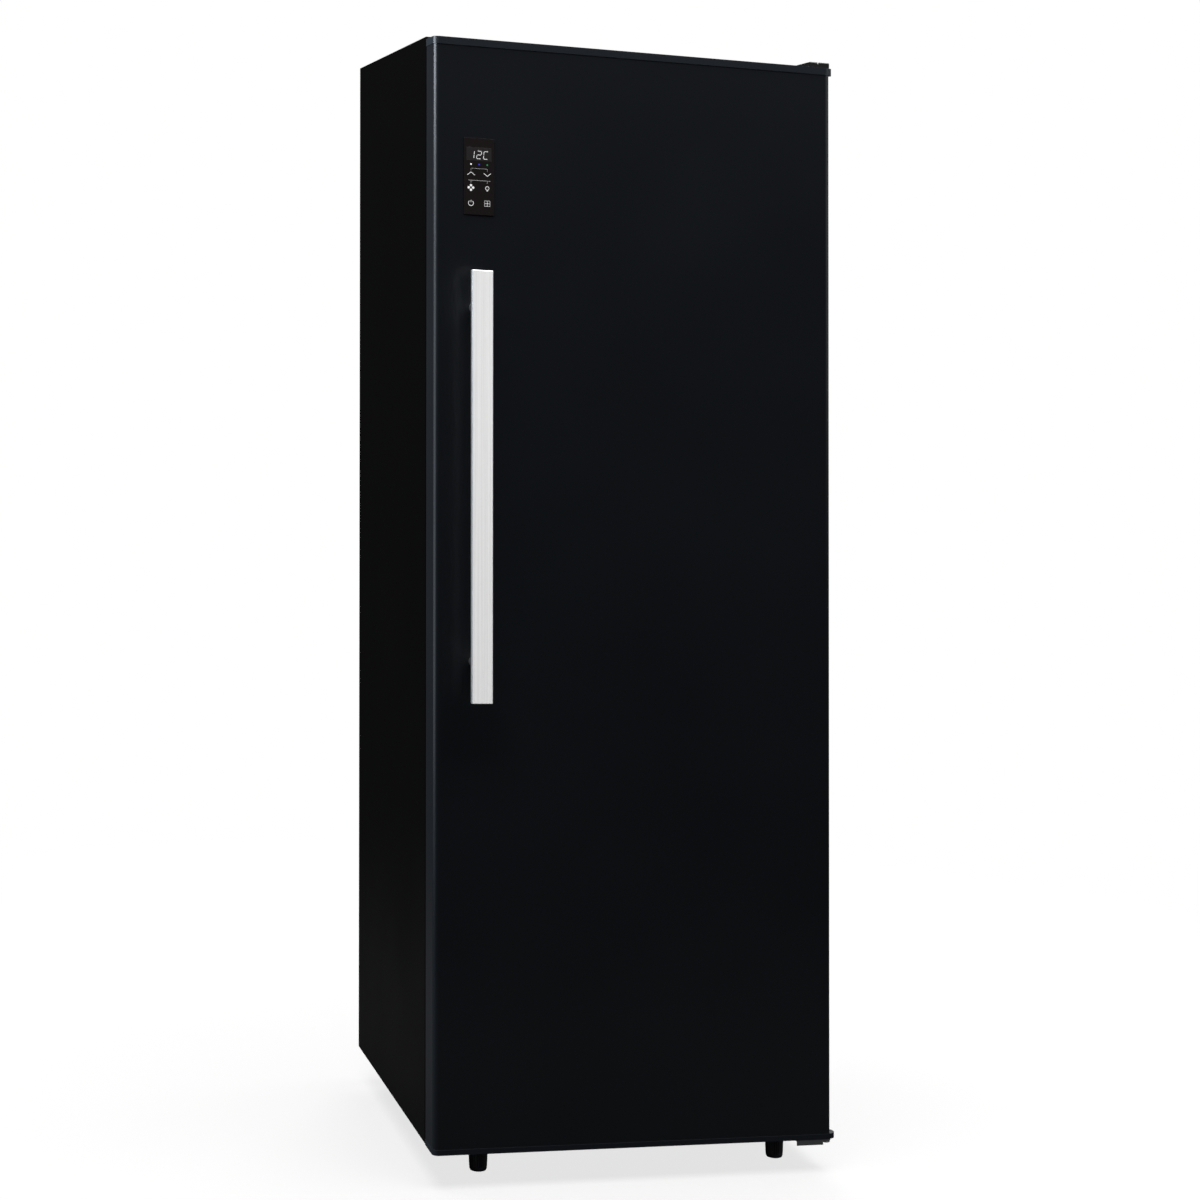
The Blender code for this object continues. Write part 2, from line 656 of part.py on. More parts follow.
def make_compressor(paint, rubber, plastic):
    """The welded pot on its foot plate, four grommets, the starter box and the drip tray."""
    base_z = BOTTOM + TRAY_T + GROMMET_H + 2 * GAP
    middle = (COMPRESSOR_X, STEP_Y + MACHINE_D / 2, base_z)
    plate_x, plate_y, plate_t = FOOT_PLATE
    half = COMPRESSOR_H / 2
    pot = [(0, plate_t / 2)]
    for i in range(11):
        turn = math.radians(-72 + 162 * i / 10)
        lift = half + (half - plate_t / 2) * math.sin(turn) ** 3 * 0.999
        pot.append((COMPRESSOR_R * math.cos(turn) ** 0.45 if i < 10 else 0, lift))
    compressor = turned("compressor", paint, pot, middle, "Z", steps=28)
    join(compressor, ring("seam", paint, COMPRESSOR_R - 0.004, COMPRESSOR_R + 0.002, middle, "Z",
                          half + 0.004, half + 0.010, steps=28))
    join(compressor, boxes("foot_plate", paint,
                           ((middle[0] - plate_x / 2, middle[0] + plate_x / 2),
                            (middle[1] - plate_y / 2, middle[1] + plate_y / 2),
                            (base_z, base_z + plate_t))))
    grommets = []
    for number in range(4):
        x = middle[0] + (plate_x / 2 - 0.016) * (1 if number % 2 else -1)
        y = middle[1] + (plate_y / 2 - 0.016) * (1 if number // 2 else -1)
        profile = [(0, 0), (GROMMET_R, 0), (GROMMET_R, 0.005), (GROMMET_R - 0.003, 0.006),
                   (GROMMET_R - 0.003, GROMMET_H - 0.002), (GROMMET_R - 0.001, GROMMET_H),
                   (0, GROMMET_H)]
        grommets.append(turned(f"compressor_grommet_{number + 1}", rubber, profile,
                               (x, y, BOTTOM + TRAY_T + GAP), "Z", steps=16))

    box_x = middle[0] + COMPRESSOR_R + 0.003
    starter = boxes("starter_box", plastic, ((box_x, box_x + 0.038),
                                             (middle[1] - 0.028, middle[1] + 0.028),
                                             (base_z + 0.050, base_z + 0.118)))
    soften(starter, 0.005, 2)

    length, width, height = DRIP_TRAY
    low = base_z + COMPRESSOR_H + GAP
    drip = boxes("drip_tray", plastic, ((middle[0] - length / 2, middle[0] + length / 2),
                                        (middle[1] - width / 2, middle[1] + width / 2),
                                        (low, low + height)))
    wall = 0.002
    cut(drip, boxes("basin", plastic,
                    ((middle[0] - length / 2 + wall, middle[0] + length / 2 - wall),
                     (middle[1] - width / 2 + wall, middle[1] + width / 2 - wall),
                     (low + wall, low + 2 * height))))
    return [compressor, *grommets, starter, drip], middle


def make_pipes(copper, middle):
    """The suction and discharge pipes and the drier, between compressor and condenser."""
    edge = middle[1] + COMPRESSOR_R + 0.003
    start_z = middle[2] + 0.035
    left_x = -CONDENSER_W / 2 - 0.035
    out_x = middle[0] - 0.055
    discharge = [(out_x, edge - 0.012, start_z), (out_x, CONDENSER_Y - 0.034, start_z),
                 (left_x, CONDENSER_Y - 0.034, start_z), (left_x, CONDENSER_Y - 0.034, start_z + 0.030),
                 (left_x, CONDENSER_Y, start_z + 0.030), (left_x, CONDENSER_Y, STEP_Z - 0.040 - GAP)]
    discharge_pipe = pipe("discharge_pipe", copper, PIPE_R, routed(discharge, 0.010))

    rise_x = middle[0] + COMPRESSOR_R + 0.065
    suction = [(middle[0] + COMPRESSOR_R + 0.003, middle[1] - 0.045, start_z),
               (rise_x, middle[1] - 0.045, start_z),
               (rise_x, middle[1] - 0.045, STEP_Z - GAP)]
    suction_pipe = pipe("suction_pipe", copper, PIPE_R, routed(suction, 0.020))

    drier_middle = (CONDENSER_W / 2, CONDENSER_Y, STEP_Z - 0.040 - GAP)
    neck = DRIER_R / 3
    profile = [(0, 0), (neck, 0), (neck, -0.014), (DRIER_R, -0.022), (DRIER_R, -0.096),
               (neck, -0.104), (neck, -0.116), (0, -0.116)]
    drier = turned("filter_drier", copper, profile, drier_middle, "Z", steps=20)
    return discharge_pipe, suction_pipe, drier


# Condenser

def condenser_route():
    """Up beside the wires, then to and fro downwards, and down again at the other side."""
    half = CONDENSER_W / 2
    high = TOP - CONDENSER_TOP
    low = STEP_Z + CONDENSER_BASE
    drop = (high - low) / (CONDENSER_RUNS - 1)
    end = STEP_Z - 0.040
    corners = [(-half - 0.035, CONDENSER_Y, end), (-half - 0.035, CONDENSER_Y, high)]
    for run in range(CONDENSER_RUNS):
        side = half if run % 2 == 0 else -half
        z = high - run * drop
        if run:
            corners.append((-side, CONDENSER_Y, z))
        corners.append((side, CONDENSER_Y, z))
    corners.append((half, CONDENSER_Y, end))
    return routed(corners, 0.018), low, high


def make_condenser(paint):
    """The serpentine tube, the wires welded across it and the two strips that carry them."""
    route, low, high = condenser_route()
    tube = pipe("condenser_tube", paint, CONDENSER_R, route)

    front = CONDENSER_Y + CONDENSER_R + GAP
    back = front + WIRE_T
    span = CONDENSER_W - 0.060
    reach = CONDENSER_W / 2 + 0.062
    base = low - 0.040
    peak = high + 0.030
    uprights = []
    for i in range(WIRE_COUNT):
        x = -span / 2 + span * i / (WIRE_COUNT - 1)
        uprights.append(((x - WIRE_T / 2, x + WIRE_T / 2), (front, back), (base, peak)))
    wires = boxes("condenser_wires", paint, *uprights)
    for z in (base + STRIP_W, peak - STRIP_W):
        join(wires, boxes("cross_wire", paint, ((-reach, reach), (front, back),
                                                (z - WIRE_T, z + WIRE_T))))
    strips = []
    for name, x in (("condenser_strip_left", -reach), ("condenser_strip_right", reach - STRIP_W)):
        strips.append(boxes(name, paint, ((x, x + STRIP_W), (BACK + GAP, front - GAP),
                                          (base, peak))))
    return tube, wires, strips


# Door

def door_outline(inset, back):
    """The door's section seen from above: round front corners, square at the back."""
    radius = DOOR_EDGE_R - inset
    side = RIGHT - inset
    face = DOOR_FACE + inset
    outline = [(-side, back)]
    outline += arc((-side + radius, face + radius), radius, 180, 270)
    outline += arc((side - radius, face + radius), radius, 270, 360)
    outline.append((side, back))
    return outline


def make_door_skin(paint):
    """The folded door skin: face, round edges, sides and a return behind, with a panel window."""
    inner = door_outline(SHEET, DOOR_BACK - SHEET)
    inner_side = RIGHT - DOOR_LIP
    outline = door_outline(0, DOOR_BACK)
    outline += [(inner_side, DOOR_BACK), (inner_side, DOOR_BACK - SHEET)]
    outline += inner[::-1]
    outline += [(-inner_side, DOOR_BACK - SHEET), (-inner_side, DOOR_BACK)]
    skin = prism("door_skin", paint, outline, "Z", SKIN_BOTTOM, SKIN_TOP)
    x, z = panel_box()
    cut(skin, boxes("window", paint, ((x[0] + PANEL_RIM, x[1] - PANEL_RIM),
                                      (DOOR_FACE - SHEET, DOOR_FACE + 2 * SHEET),
                                      (z[0] + PANEL_RIM, z[1] - PANEL_RIM))))
    return skin


def make_door_cap(name, plastic, low, high, boss_r, bore):
    """An end cap over the whole section, with the hinge boss at its right corner."""
    outline = door_outline(-CAP_PROUD, DOOR_BACK)
    cap = prism(name, plastic, outline, "Z", low, high)
    join(cap, rod("boss", plastic, boss_r, (PIN_X, PIN_Y, low), "Z", 0, high - low, steps=28))
    return cut(cap, rod("bore", plastic, HINGE_PIN_R + RUNNING_GAP, (PIN_X, PIN_Y, 0), "Z", *bore))


def make_door_filling(foam, plastic, rubber):
    """The door's foam, the liner with its raised pad, and the magnetic gasket."""
    back = DOOR_BACK - DOOR_LINER_T - GAP
    low = SKIN_BOTTOM
    high = SKIN_TOP
    block = prism("door_foam", foam, door_outline(SHEET + GAP, back), "Z", low, high)
    x, z = panel_box()
    cut(block, boxes("board_pocket", foam, ((x[0] - PANEL_RIM, x[1] + PANEL_RIM),
                                            (DOOR_FACE - SHEET, DOOR_FACE + 2 * BOARD_DEPTH),
                                            (z[0] - PANEL_RIM, z[1] + PANEL_RIM))))

    side = RIGHT - DOOR_LIP - GAP
    liner = boxes("door_liner", plastic, ((-side, side), (DOOR_BACK - DOOR_LINER_T, DOOR_BACK),
                                          (low, high)))
    pad_side = ROOM_SIDE - PAD_CLEARANCE
    pad = boxes("pad", plastic, ((-pad_side, pad_side),
                                 (DOOR_BACK - DOOR_LINER_T / 2, DOOR_BACK + PAD_REACH),
                                 (ROOM_BOTTOM + PAD_CLEARANCE, ROOM_TOP - PAD_CLEARANCE)))
    join(liner, pad)

    outer = RIGHT - GASKET_INSET
    front = DOOR_BACK + GAP
    gasket = boxes("door_gasket", rubber, ((-outer, outer), (front, -SEAL_GAP),
                                           (DOOR_BOTTOM + GASKET_INSET, DOOR_TOP - GASKET_INSET)))
    inner = outer - GASKET_W
    cut(gasket, boxes("gasket_hole", rubber, ((-inner, inner), (front - GASKET_W, GASKET_W),
                                              (DOOR_BOTTOM + GASKET_INSET + GASKET_W,
                                               DOOR_TOP - GASKET_INSET - GASKET_W))))
    return block, liner, gasket


def panel_box():
    """The touch panel's span in x and in z."""
    left = LEFT + PANEL_LEFT
    top = DOOR_TOP - PANEL_DROP
    return (left, left + PANEL_W), (top - PANEL_H, top)


def make_controls(glass, board_green):
    """The touch panel stuck on the door's face, and its circuit board behind the window."""
    x, z = panel_box()
    front = DOOR_FACE - GAP - PANEL_T
    panel = boxes("control_panel", glass, (x, (front, DOOR_FACE - GAP), z))
    board_front = DOOR_FACE + BOARD_DEPTH
    board = boxes("control_board", board_green,
                  ((x[0] + PANEL_RIM, x[1] - PANEL_RIM), (board_front, board_front + BOARD_T),
                   (z[0] + PANEL_RIM, z[1] - PANEL_RIM)))
    return panel, board


def make_handle(steel):
    """The flat bar and the two round posts that hold it off the door."""
    x = LEFT + HANDLE_CENTRE
    top = DOOR_TOP - HANDLE_DROP
    back = DOOR_FACE - HANDLE_STANDOFF
    bar = boxes("handle_bar", steel, ((x - HANDLE_W / 2, x + HANDLE_W / 2),
                                      (back - HANDLE_T, back), (top - HANDLE_L, top)))
    soften(bar, 0.0012, 2)
    posts = []
    for name, z in (("handle_post_top", top - POST_INSET),
                    ("handle_post_bottom", top - HANDLE_L + POST_INSET)):
        posts.append(rod(name, steel, POST_R, (x, back, z), "Y", GAP, HANDLE_STANDOFF - GAP))
    return [bar, *posts]


# Hinges

def make_top_hinge(zinc, plastic):
    """The plate on the cabinet's top with the pin that hangs into the door, and its cover."""
    low = TOP + GAP
    high = low + HINGE_PLATE_T
    right = PIN_X + HINGE_PIN_R + PIN_LAND
    left = right - HINGE_PLATE_W
    front = PIN_Y - HINGE_PLATE_END
    plate = boxes("top_hinge_plate", zinc, ((left, right), (front, HINGE_PLATE_REACH), (low, high)))
    pin_end = DOOR_TOP - TOP_CAP_H + PIN_END_GAP
    join(plate, rod("pin", zinc, HINGE_PIN_R, (PIN_X, PIN_Y, 0), "Z", pin_end, high - GAP))

    wall = COVER_WALL + GAP
    crown = high + wall
    outline = [(front - wall, low), (front - wall, crown - COVER_WALL),
               (front - wall + COVER_WALL, crown), (HINGE_PLATE_REACH + wall, crown),
               (HINGE_PLATE_REACH + wall + COVER_SLOPE, low)]
    cover = prism("top_hinge_cover", plastic, outline, "X", left - wall, right + wall)
    cut(cover, boxes("cover_room", plastic, ((left - GAP, right + GAP),
                                             (front - GAP, HINGE_PLATE_REACH + GAP),
                                             (low - GAP, high + GAP))))
    return plate, cover


def make_bottom_hinge(zinc, steel):
    """The plate bolted under the cabinet, the pin that stands in the door, and its washer."""
    high = BOTTOM - BOTTOM_PLATE_GAP
    low = high - BOTTOM_PLATE_T
    front = PIN_Y - BOTTOM_PLATE_END_R
    left = PIN_X - BOTTOM_PLATE_W
    rear_left = PIN_X - BOTTOM_PLATE_REAR_W
    outline = [(left, front), (PIN_X, front)]
    outline += arc((PIN_X, PIN_Y), BOTTOM_PLATE_END_R, -90, 90, 8)[1:]
    outline += [(PIN_X - 0.004, PIN_Y + BOTTOM_PLATE_END_R), (PIN_X - 0.004, HINGE_PLATE_REACH),
                (rear_left, HINGE_PLATE_REACH), (rear_left, BOTTOM_PLATE_STEP),
                (left, BOTTOM_PLATE_STEP)]
    plate = prism("bottom_hinge_plate", zinc, outline, "Z", low, high)
    join(plate, boxes("front_lip", zinc, ((left, PIN_X - PIN_HEAD_R - 0.001),
                                          (front, front + BOTTOM_PLATE_T),
                                          (high - BOTTOM_PLATE_LIP, high - BOTTOM_PLATE_T / 2))))
    join(plate, boxes("packing", zinc, ((rear_left, PIN_X - 0.004), (0.004, HINGE_PLATE_REACH),
                                        (high - BOTTOM_PLATE_T / 2, BOTTOM - GAP))))
    cut(plate, rod("pin_hole", zinc, HINGE_PIN_R + GAP, (PIN_X, PIN_Y, 0), "Z",
                   low - BOTTOM_PLATE_T, high + BOTTOM_PLATE_T))

    head = low - GAP
    tip = DOOR_BOTTOM + BOTTOM_CAP_H - 0.002
    profile = [(0, head - PIN_HEAD_H), (PIN_HEAD_R - 0.001, head - PIN_HEAD_H),
               (PIN_HEAD_R, head - PIN_HEAD_H + 0.001), (PIN_HEAD_R, head),
               (HINGE_PIN_R, head), (HINGE_PIN_R, tip - 0.001), (HINGE_PIN_R - 0.001, tip),
               (0, tip)]
    pin = turned("bottom_hinge_pin", steel, profile, (PIN_X, PIN_Y, 0), "Z", steps=24)
    washer = ring("hinge_washer", steel, HINGE_PIN_R + GAP, WASHER_R, (PIN_X, PIN_Y, 0), "Z",
                  high + GAP, high + GAP + WASHER_T, steps=28)
    return plate, pin, washer


# Feet and rollers

def foot_places():
    """Where the front feet stand, left and right."""
    return (LEFT + FOOT_LEFT, RIGHT - FOOT_RIGHT)


def roller_places():
    """Where the rear rollers stand, left and right."""
    return (LEFT + ROLLER_SIDE, RIGHT - ROLLER_SIDE)


def make_foot(side, x, rubber, steel):
    """A ribbed foot, narrower at the floor, and the threaded stem that holds it."""
    top = BOTTOM - FOOT_CLEARANCE
    grip = top - 0.004
    shape = bmesh.new()
    levels = [(0.0, FOOT_BASE_R - 0.004), (0.0012, FOOT_BASE_R - 0.0012), (0.005, FOOT_BASE_R),
              (grip, FOOT_TOP_R), (top, FOOT_TOP_R - 0.001)]
    rings = []
    for z, radius in levels:
        around = []
        for i in range(2 * FOOT_RIBS):
            reach = radius if i % 2 == 0 or z == 0.0 else radius - 0.0012
            turn = math.pi * i / FOOT_RIBS
            around.append(shape.verts.new((x + reach * math.cos(turn),
                                           FOOT_FRONT + reach * math.sin(turn), z)))
        rings.append(around)
    for lower, upper in zip(rings, rings[1:]):
        for i in range(2 * FOOT_RIBS):
            j = (i + 1) % (2 * FOOT_RIBS)
            shape.faces.new((lower[i], lower[j], upper[j], upper[i]))
    shape.faces.new(rings[0])
    shape.faces.new(rings[-1])
    foot = add_piece(f"front_foot_{side}", shape, rubber)
    depth = top - 0.016
    cut(foot, rod("stem_socket", rubber, STEM_R + GAP, (x, FOOT_FRONT, 0), "Z",
                  depth, top + STEM_R, steps=20))
    stem_low = depth + GAP
    stem_high = BOTTOM + STEM_REACH
    profile = [(0, stem_low), (STEM_R, stem_low), (STEM_R, stem_high - 0.001),
               (STEM_R - 0.001, stem_high), (0, stem_high)]
    stem = turned(f"front_foot_stem_{side}", steel, profile, (x, FOOT_FRONT, 0), "Z", steps=20)
    return foot, stem


def make_roller(side, x, plastic, steel):
    """A rear roller and the axle pin through its two lugs."""
    middle = (x, BACK - ROLLER_REAR, ROLLER_R)
    half = ROLLER_W / 2
    inner = AXLE_R + RUNNING_GAP
    profile = [(inner, -half), (ROLLER_R - 0.002, -half), (ROLLER_R, -half + 0.002),
               (ROLLER_R, half - 0.002), (ROLLER_R - 0.002, half), (inner, half)]
    roller = turned(f"rear_roller_{side}", plastic, profile, middle, "X", steps=36, hollow=True)
    end = half + 0.001 + LUG_T + GAP
    profile = [(0, -end - 0.002), (AXLE_R + 0.0015, -end - 0.002), (AXLE_R + 0.0015, -end),
               (AXLE_R, -end), (AXLE_R, end), (AXLE_R + 0.0015, end),
               (AXLE_R + 0.0015, end + 0.002), (0, end + 0.002)]
    axle = turned(f"rear_axle_{side}", steel, profile, middle, "X", steps=20)
    return roller, axle, middle


def shade(piece):
    """Shade round pieces smooth and keep their real edges."""
    if piece.type == "MESH":
        piece.data.shade_smooth()
        piece.data.set_sharp_from_angle(angle=math.radians(35))


def main():
    """Build every piece and hang it on its axis."""
    clear_scene()
    black_paint = finish("black_paint", (0.008, 0.009, 0.011), 0.35)
    black_plastic = finish("black_plastic", (0.012, 0.012, 0.013), 0.45)
    zinc = finish("zinc_steel", (0.55, 0.56, 0.57), 0.38, 1.0)
    brushed = finish("brushed_steel", (0.66, 0.66, 0.65), 0.32, 1.0)
    grey_liner = finish("grey_liner", (0.18, 0.18, 0.19), 0.5)
    foam = finish("foam", (0.80, 0.68, 0.38), 0.9)
    wood = finish("beech", (0.45, 0.27, 0.13), 0.55)
    rubber = finish("rubber", (0.015, 0.015, 0.015), 0.75)
    copper = finish("copper", (0.62, 0.30, 0.18), 0.35, 1.0)
    glass = finish("panel_glass", (0.012, 0.011, 0.011), 0.15)
    board_green = finish("circuit_board", (0.01, 0.12, 0.05), 0.5)
    clear = finish("lamp_plastic", (0.85, 0.86, 0.88), 0.3)
    aluminium = finish("aluminium", (0.70, 0.71, 0.72), 0.4, 1.0)

    placement = empty("placement", (0, 0, 0))
    fixed = [*make_shell(black_paint, zinc), *make_insulation(foam, grey_liner),
             make_front_frame(grey_liner), *make_shelves(wood), make_duct(black_plastic)]
    grille, motor, impeller = make_fan(black_plastic, zinc)
    fixed += [grille, motor]
    fixed += make_inside_fittings(black_plastic, clear, aluminium, black_plastic)
    fixed += [make_tray(zinc), make_gland(rubber)]
    compressor_pieces, compressor_middle = make_compressor(black_paint, rubber, black_plastic)
    fixed += compressor_pieces
    fixed += make_pipes(copper, compressor_middle)
    tube, wires, strips = make_condenser(black_paint)
    fixed += [tube, wires, *strips]
    fixed += make_top_hinge(zinc, black_plastic)
    fixed += make_bottom_hinge(zinc, brushed)
    for piece in fixed:
        hang(piece, placement)

    door_axis = empty("door_axis", (PIN_X, PIN_Y, DOOR_BOTTOM), placement)
    door = [make_door_skin(black_paint)]
    door.append(make_door_cap("door_top_cap", black_plastic, DOOR_TOP - TOP_CAP_H, DOOR_TOP,
                              TOP_BOSS_R, (DOOR_TOP - TOP_CAP_H + 0.002, DOOR_TOP + 0.002)))
    door.append(make_door_cap("door_bottom_cap", black_plastic, DOOR_BOTTOM,
                              DOOR_BOTTOM + BOTTOM_CAP_H, BOTTOM_BOSS_R,
                              (DOOR_BOTTOM - 0.002, DOOR_BOTTOM + BOTTOM_CAP_H - 0.001)))
    door += make_door_filling(foam, grey_liner, rubber)
    door += make_controls(glass, board_green)
    door += make_handle(brushed)
    for piece in door:
        hang(piece, door_axis)

    fan_axis = empty("fan_axis", fan_middle(), placement)
    hang(impeller, fan_axis)
    for side, x in zip(("left", "right"), foot_places()):
        foot_axis = empty(f"foot_axis_{side}", (x, FOOT_FRONT, 0), placement)
        for piece in make_foot(side, x, black_plastic, zinc):
            hang(piece, foot_axis)
    for side, x in zip(("left", "right"), roller_places()):
        roller, axle, middle = make_roller(side, x, black_plastic, zinc)
        roller_axis = empty(f"roller_axis_{side}", middle, placement)
        hang(roller, roller_axis)
        hang(axle, placement)

    placement.location = (-(MODEL_LEFT + MODEL_RIGHT) / 2, -(MODEL_FRONT + MODEL_BACK) / 2, 0)
    for piece in bpy.context.scene.objects:
        shade(piece)


main()
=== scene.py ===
import math

import bmesh
import bpy
from mathutils import Matrix, Vector


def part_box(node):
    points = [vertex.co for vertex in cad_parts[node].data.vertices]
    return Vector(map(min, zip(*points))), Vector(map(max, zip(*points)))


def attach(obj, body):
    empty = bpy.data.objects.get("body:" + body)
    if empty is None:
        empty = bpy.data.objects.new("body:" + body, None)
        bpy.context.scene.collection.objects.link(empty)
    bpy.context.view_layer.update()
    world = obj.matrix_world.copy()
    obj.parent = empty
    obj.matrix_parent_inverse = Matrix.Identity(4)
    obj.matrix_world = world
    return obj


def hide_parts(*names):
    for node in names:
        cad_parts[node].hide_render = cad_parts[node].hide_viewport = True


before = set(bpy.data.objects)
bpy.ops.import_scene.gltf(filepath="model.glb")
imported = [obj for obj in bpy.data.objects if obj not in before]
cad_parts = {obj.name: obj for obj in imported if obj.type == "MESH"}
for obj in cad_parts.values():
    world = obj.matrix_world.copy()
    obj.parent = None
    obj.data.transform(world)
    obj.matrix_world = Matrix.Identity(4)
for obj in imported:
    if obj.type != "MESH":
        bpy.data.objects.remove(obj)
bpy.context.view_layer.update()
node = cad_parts
scene = bpy.context.scene


# Camera
# A lens at chest height, left of the door and close to level. It hangs on a slanted stand, which
# keeps the door's upright edges upright and lets its level ones fall away to the right.
EYE = Vector((-1.2298, -4.3727, 1.365))
TURN = math.radians(16.647)
LIFT = math.radians(0.805)
SLANT = 0.04907             # how far the view's right side is pulled down
AIM_SIDE = 0.01254
AIM_DOWN = 0.11137
LENS = 77.99


def added(name, data):
    """A new object in the scene."""
    made = bpy.data.objects.new(name, data)
    scene.collection.objects.link(made)
    return made


ahead = Vector((math.sin(TURN) * math.cos(LIFT), math.cos(TURN) * math.cos(LIFT), math.sin(LIFT)))
right = Vector((math.cos(TURN), -math.sin(TURN), 0.0))
up = right.cross(ahead)
across = (right + up * SLANT).normalized()
back = (right * AIM_SIDE + up * (SLANT * AIM_SIDE + AIM_DOWN) - ahead).normalized()
stand = added("camera_stand", None)
camera = added("camera", bpy.data.cameras.new("camera"))
camera.data.lens = LENS
camera.data.sensor_width = 36.0
camera.data.clip_end = 100.0
camera.parent = stand
camera.matrix_parent_inverse = Matrix([(across.x, up.x, back.x, EYE.x),
                                       (across.y, up.y, back.y, EYE.y),
                                       (across.z, up.z, back.z, EYE.z),
                                       (0.0, 0.0, 0.0, 1.0)])
scene.camera = camera


# Studio
# A pale floor that fades into a white room, and large soft lamps: two at the left and one at the
# right for the door's edges, one overhead, one each for the right side and the back, and two for
# the bright steel.
FLOOR_R = 9.0
FADE_START = 1.1
FADE_END = 2.6
FLOOR_THIN = 0.76           # how much of the white room shows through it, to soften its shadows
FLOOR_SEEN = 0.88
FLOOR_MIRRORED = 0.14       # to all rays but the camera's the floor shows this darker colour, so that it mirrors dull in the paint: painted shade
ROOM_TINT = (0.92, 0.96, 1.0)
ROOM_LIGHT = 0.024          # the white room itself lights the pieces only this much


class Signal:
    """A number or colour on its way through a finish's nodes."""

    def __init__(self, finish, socket):
        self.finish = finish
        self.socket = socket

    def _maths(self, operation, first, second):
        return self.finish.node("ShaderNodeMath", {"operation": operation}, {0: first, 1: second})

    def __add__(self, other):
        return self._maths("ADD", self, other)

    def __mul__(self, other):
        return self._maths("MULTIPLY", self, other)

    def __gt__(self, other):
        return self._maths("GREATER_THAN", self, other)

    __radd__ = __add__
    __rmul__ = __mul__


class Finish:
    """A surface finish: its nodes, and the shader that they end in."""

    def __init__(self, name, colour, roughness, metallic=0.0, coat=0.0, specular=0.5):
        self.material = bpy.data.materials.new(name)
        self.material.use_nodes = True
        self.tree = self.material.node_tree
        self.shader = self.tree.nodes["Principled BSDF"]
        self.output = self.tree.nodes["Material Output"]
        self.set("Base Color", (*colour, 1.0))
        self.set("Roughness", roughness)
        self.set("Metallic", metallic)
        self.set("Coat Weight", coat)
        self.set("Specular IOR Level", specular)
        self.bumped = None

    def feed(self, socket, value):
        """Link a signal to a socket, or set its value."""
        if isinstance(value, Signal):
            self.tree.links.new(value.socket, socket)
        else:
            socket.default_value = value

    def set(self, name, value):
        """Set or feed one of the shader's own sockets."""
        self.feed(self.shader.inputs[name], value)

    def node(self, kind, settings=None, values=None, out=0):
        """Make a node, with its settings first and then its sockets' values or links."""
        made = self.tree.nodes.new(kind)
        for name, value in (settings or {}).items():
            if name == "stops":
                ramp = made.color_ramp.elements
                while len(ramp) < len(value):
                    ramp.new(1.0)
                for stop, (place, colour) in zip(ramp, value):
                    stop.position = place
                    stop.color = (*colour, 1.0)
            else:
                setattr(made, name, value)
        for name, value in (values or {}).items():
            self.feed(made.inputs[name], value)
        return Signal(self, made.outputs[out])

    def place(self, scale=(1.0, 1.0, 1.0), shift=(0.0, 0.0, 0.0)):
        """Where a point lies on the piece, in metres, shifted and then scaled on each axis."""
        here = self.node("ShaderNodeTexCoord", out=3)
        moved = self.node("ShaderNodeVectorMath", {"operation": "ADD"}, {0: here, 1: shift})
        return self.node("ShaderNodeVectorMath", {"operation": "MULTIPLY"}, {0: moved, 1: scale})

    def axis(self, place, name):
        """One axis of a place."""
        return self.node("ShaderNodeSeparateXYZ", {}, {0: place}, out="XYZ".index(name))

    def noise(self, place, scale, detail=3.0, rough=0.5, distort=0.0):
        """Cloudy noise, from 0 to 1."""
        return self.node("ShaderNodeTexNoise", {}, {"Vector": place, "Scale": scale,
                                                   "Detail": detail, "Roughness": rough,
                                                   "Distortion": distort})

    def blend(self, amount, low, high):
        """A colour between two colours."""
        values = {0: amount}
        for key, value in ((6, low), (7, high)):
            values[key] = value if isinstance(value, Signal) else (*value, 1.0)
        return self.node("ShaderNodeMix", {"data_type": "RGBA"}, values, out=2)

    def spread(self, signal, low, high, start=0.0, end=1.0):
        """Map a signal from one range to another, without going past it."""
        return self.node("ShaderNodeMapRange", {"clamp": True},
                         {0: signal, 1: start, 2: end, 3: low, 4: high})

    def tint(self, signal, low, high):
        """Let the colour drift between two."""
        self.set("Base Color", self.blend(signal, low, high))

    def sheen(self, signal, low, high, start=0.0, end=1.0):
        """Let the roughness drift between two values."""
        self.set("Roughness", self.spread(signal, low, high, start, end))

    def bump(self, height, depth, strength=1.0):
        """Raise and sink the surface by up to a depth in metres, on top of any bump before."""
        values = {"Height": height, "Distance": depth, "Strength": strength}
        if self.bumped:
            values["Normal"] = self.bumped
        self.bumped = self.node("ShaderNodeBump", {}, values)
        self.set("Normal", self.bumped)


def alone(thing):
    """Select one object and nothing else, and make it the active one."""
    bpy.ops.object.select_all(action="DESELECT")
    thing.select_set(True)
    bpy.context.view_layer.objects.active = thing


bpy.ops.object.select_all(action="DESELECT")
bpy.ops.mesh.primitive_circle_add(vertices=96, radius=FLOOR_R, fill_type="NGON")
floor = bpy.context.active_object
floor.name = "floor"
pale = Finish("pale_floor", (FLOOR_SEEN,) * 3, 0.85, specular=0.1)
reach = pale.node("ShaderNodeVectorMath", {"operation": "LENGTH"}, {0: pale.place()}, out=1)
clear = pale.node("ShaderNodeBsdfTransparent")
fade = pale.spread(reach, FLOOR_THIN, 1.0, FADE_START, FADE_END)
mixed = pale.node("ShaderNodeMixShader", {}, {0: fade, 2: clear})
pale.tree.links.new(pale.shader.outputs[0], mixed.socket.node.inputs[1])
pale.tree.links.new(mixed.socket, pale.output.inputs["Surface"])
grain = pale.noise(pale.place(), 60.0)
pale.sheen(grain, 0.8, 0.9)
# Painted shade: every ray but the camera's sees the floor in the darker colour.
pale.tint(pale.node("ShaderNodeLightPath"), (FLOOR_MIRRORED,) * 3, (FLOOR_SEEN,) * 3)
floor.data.materials.append(pale.material)

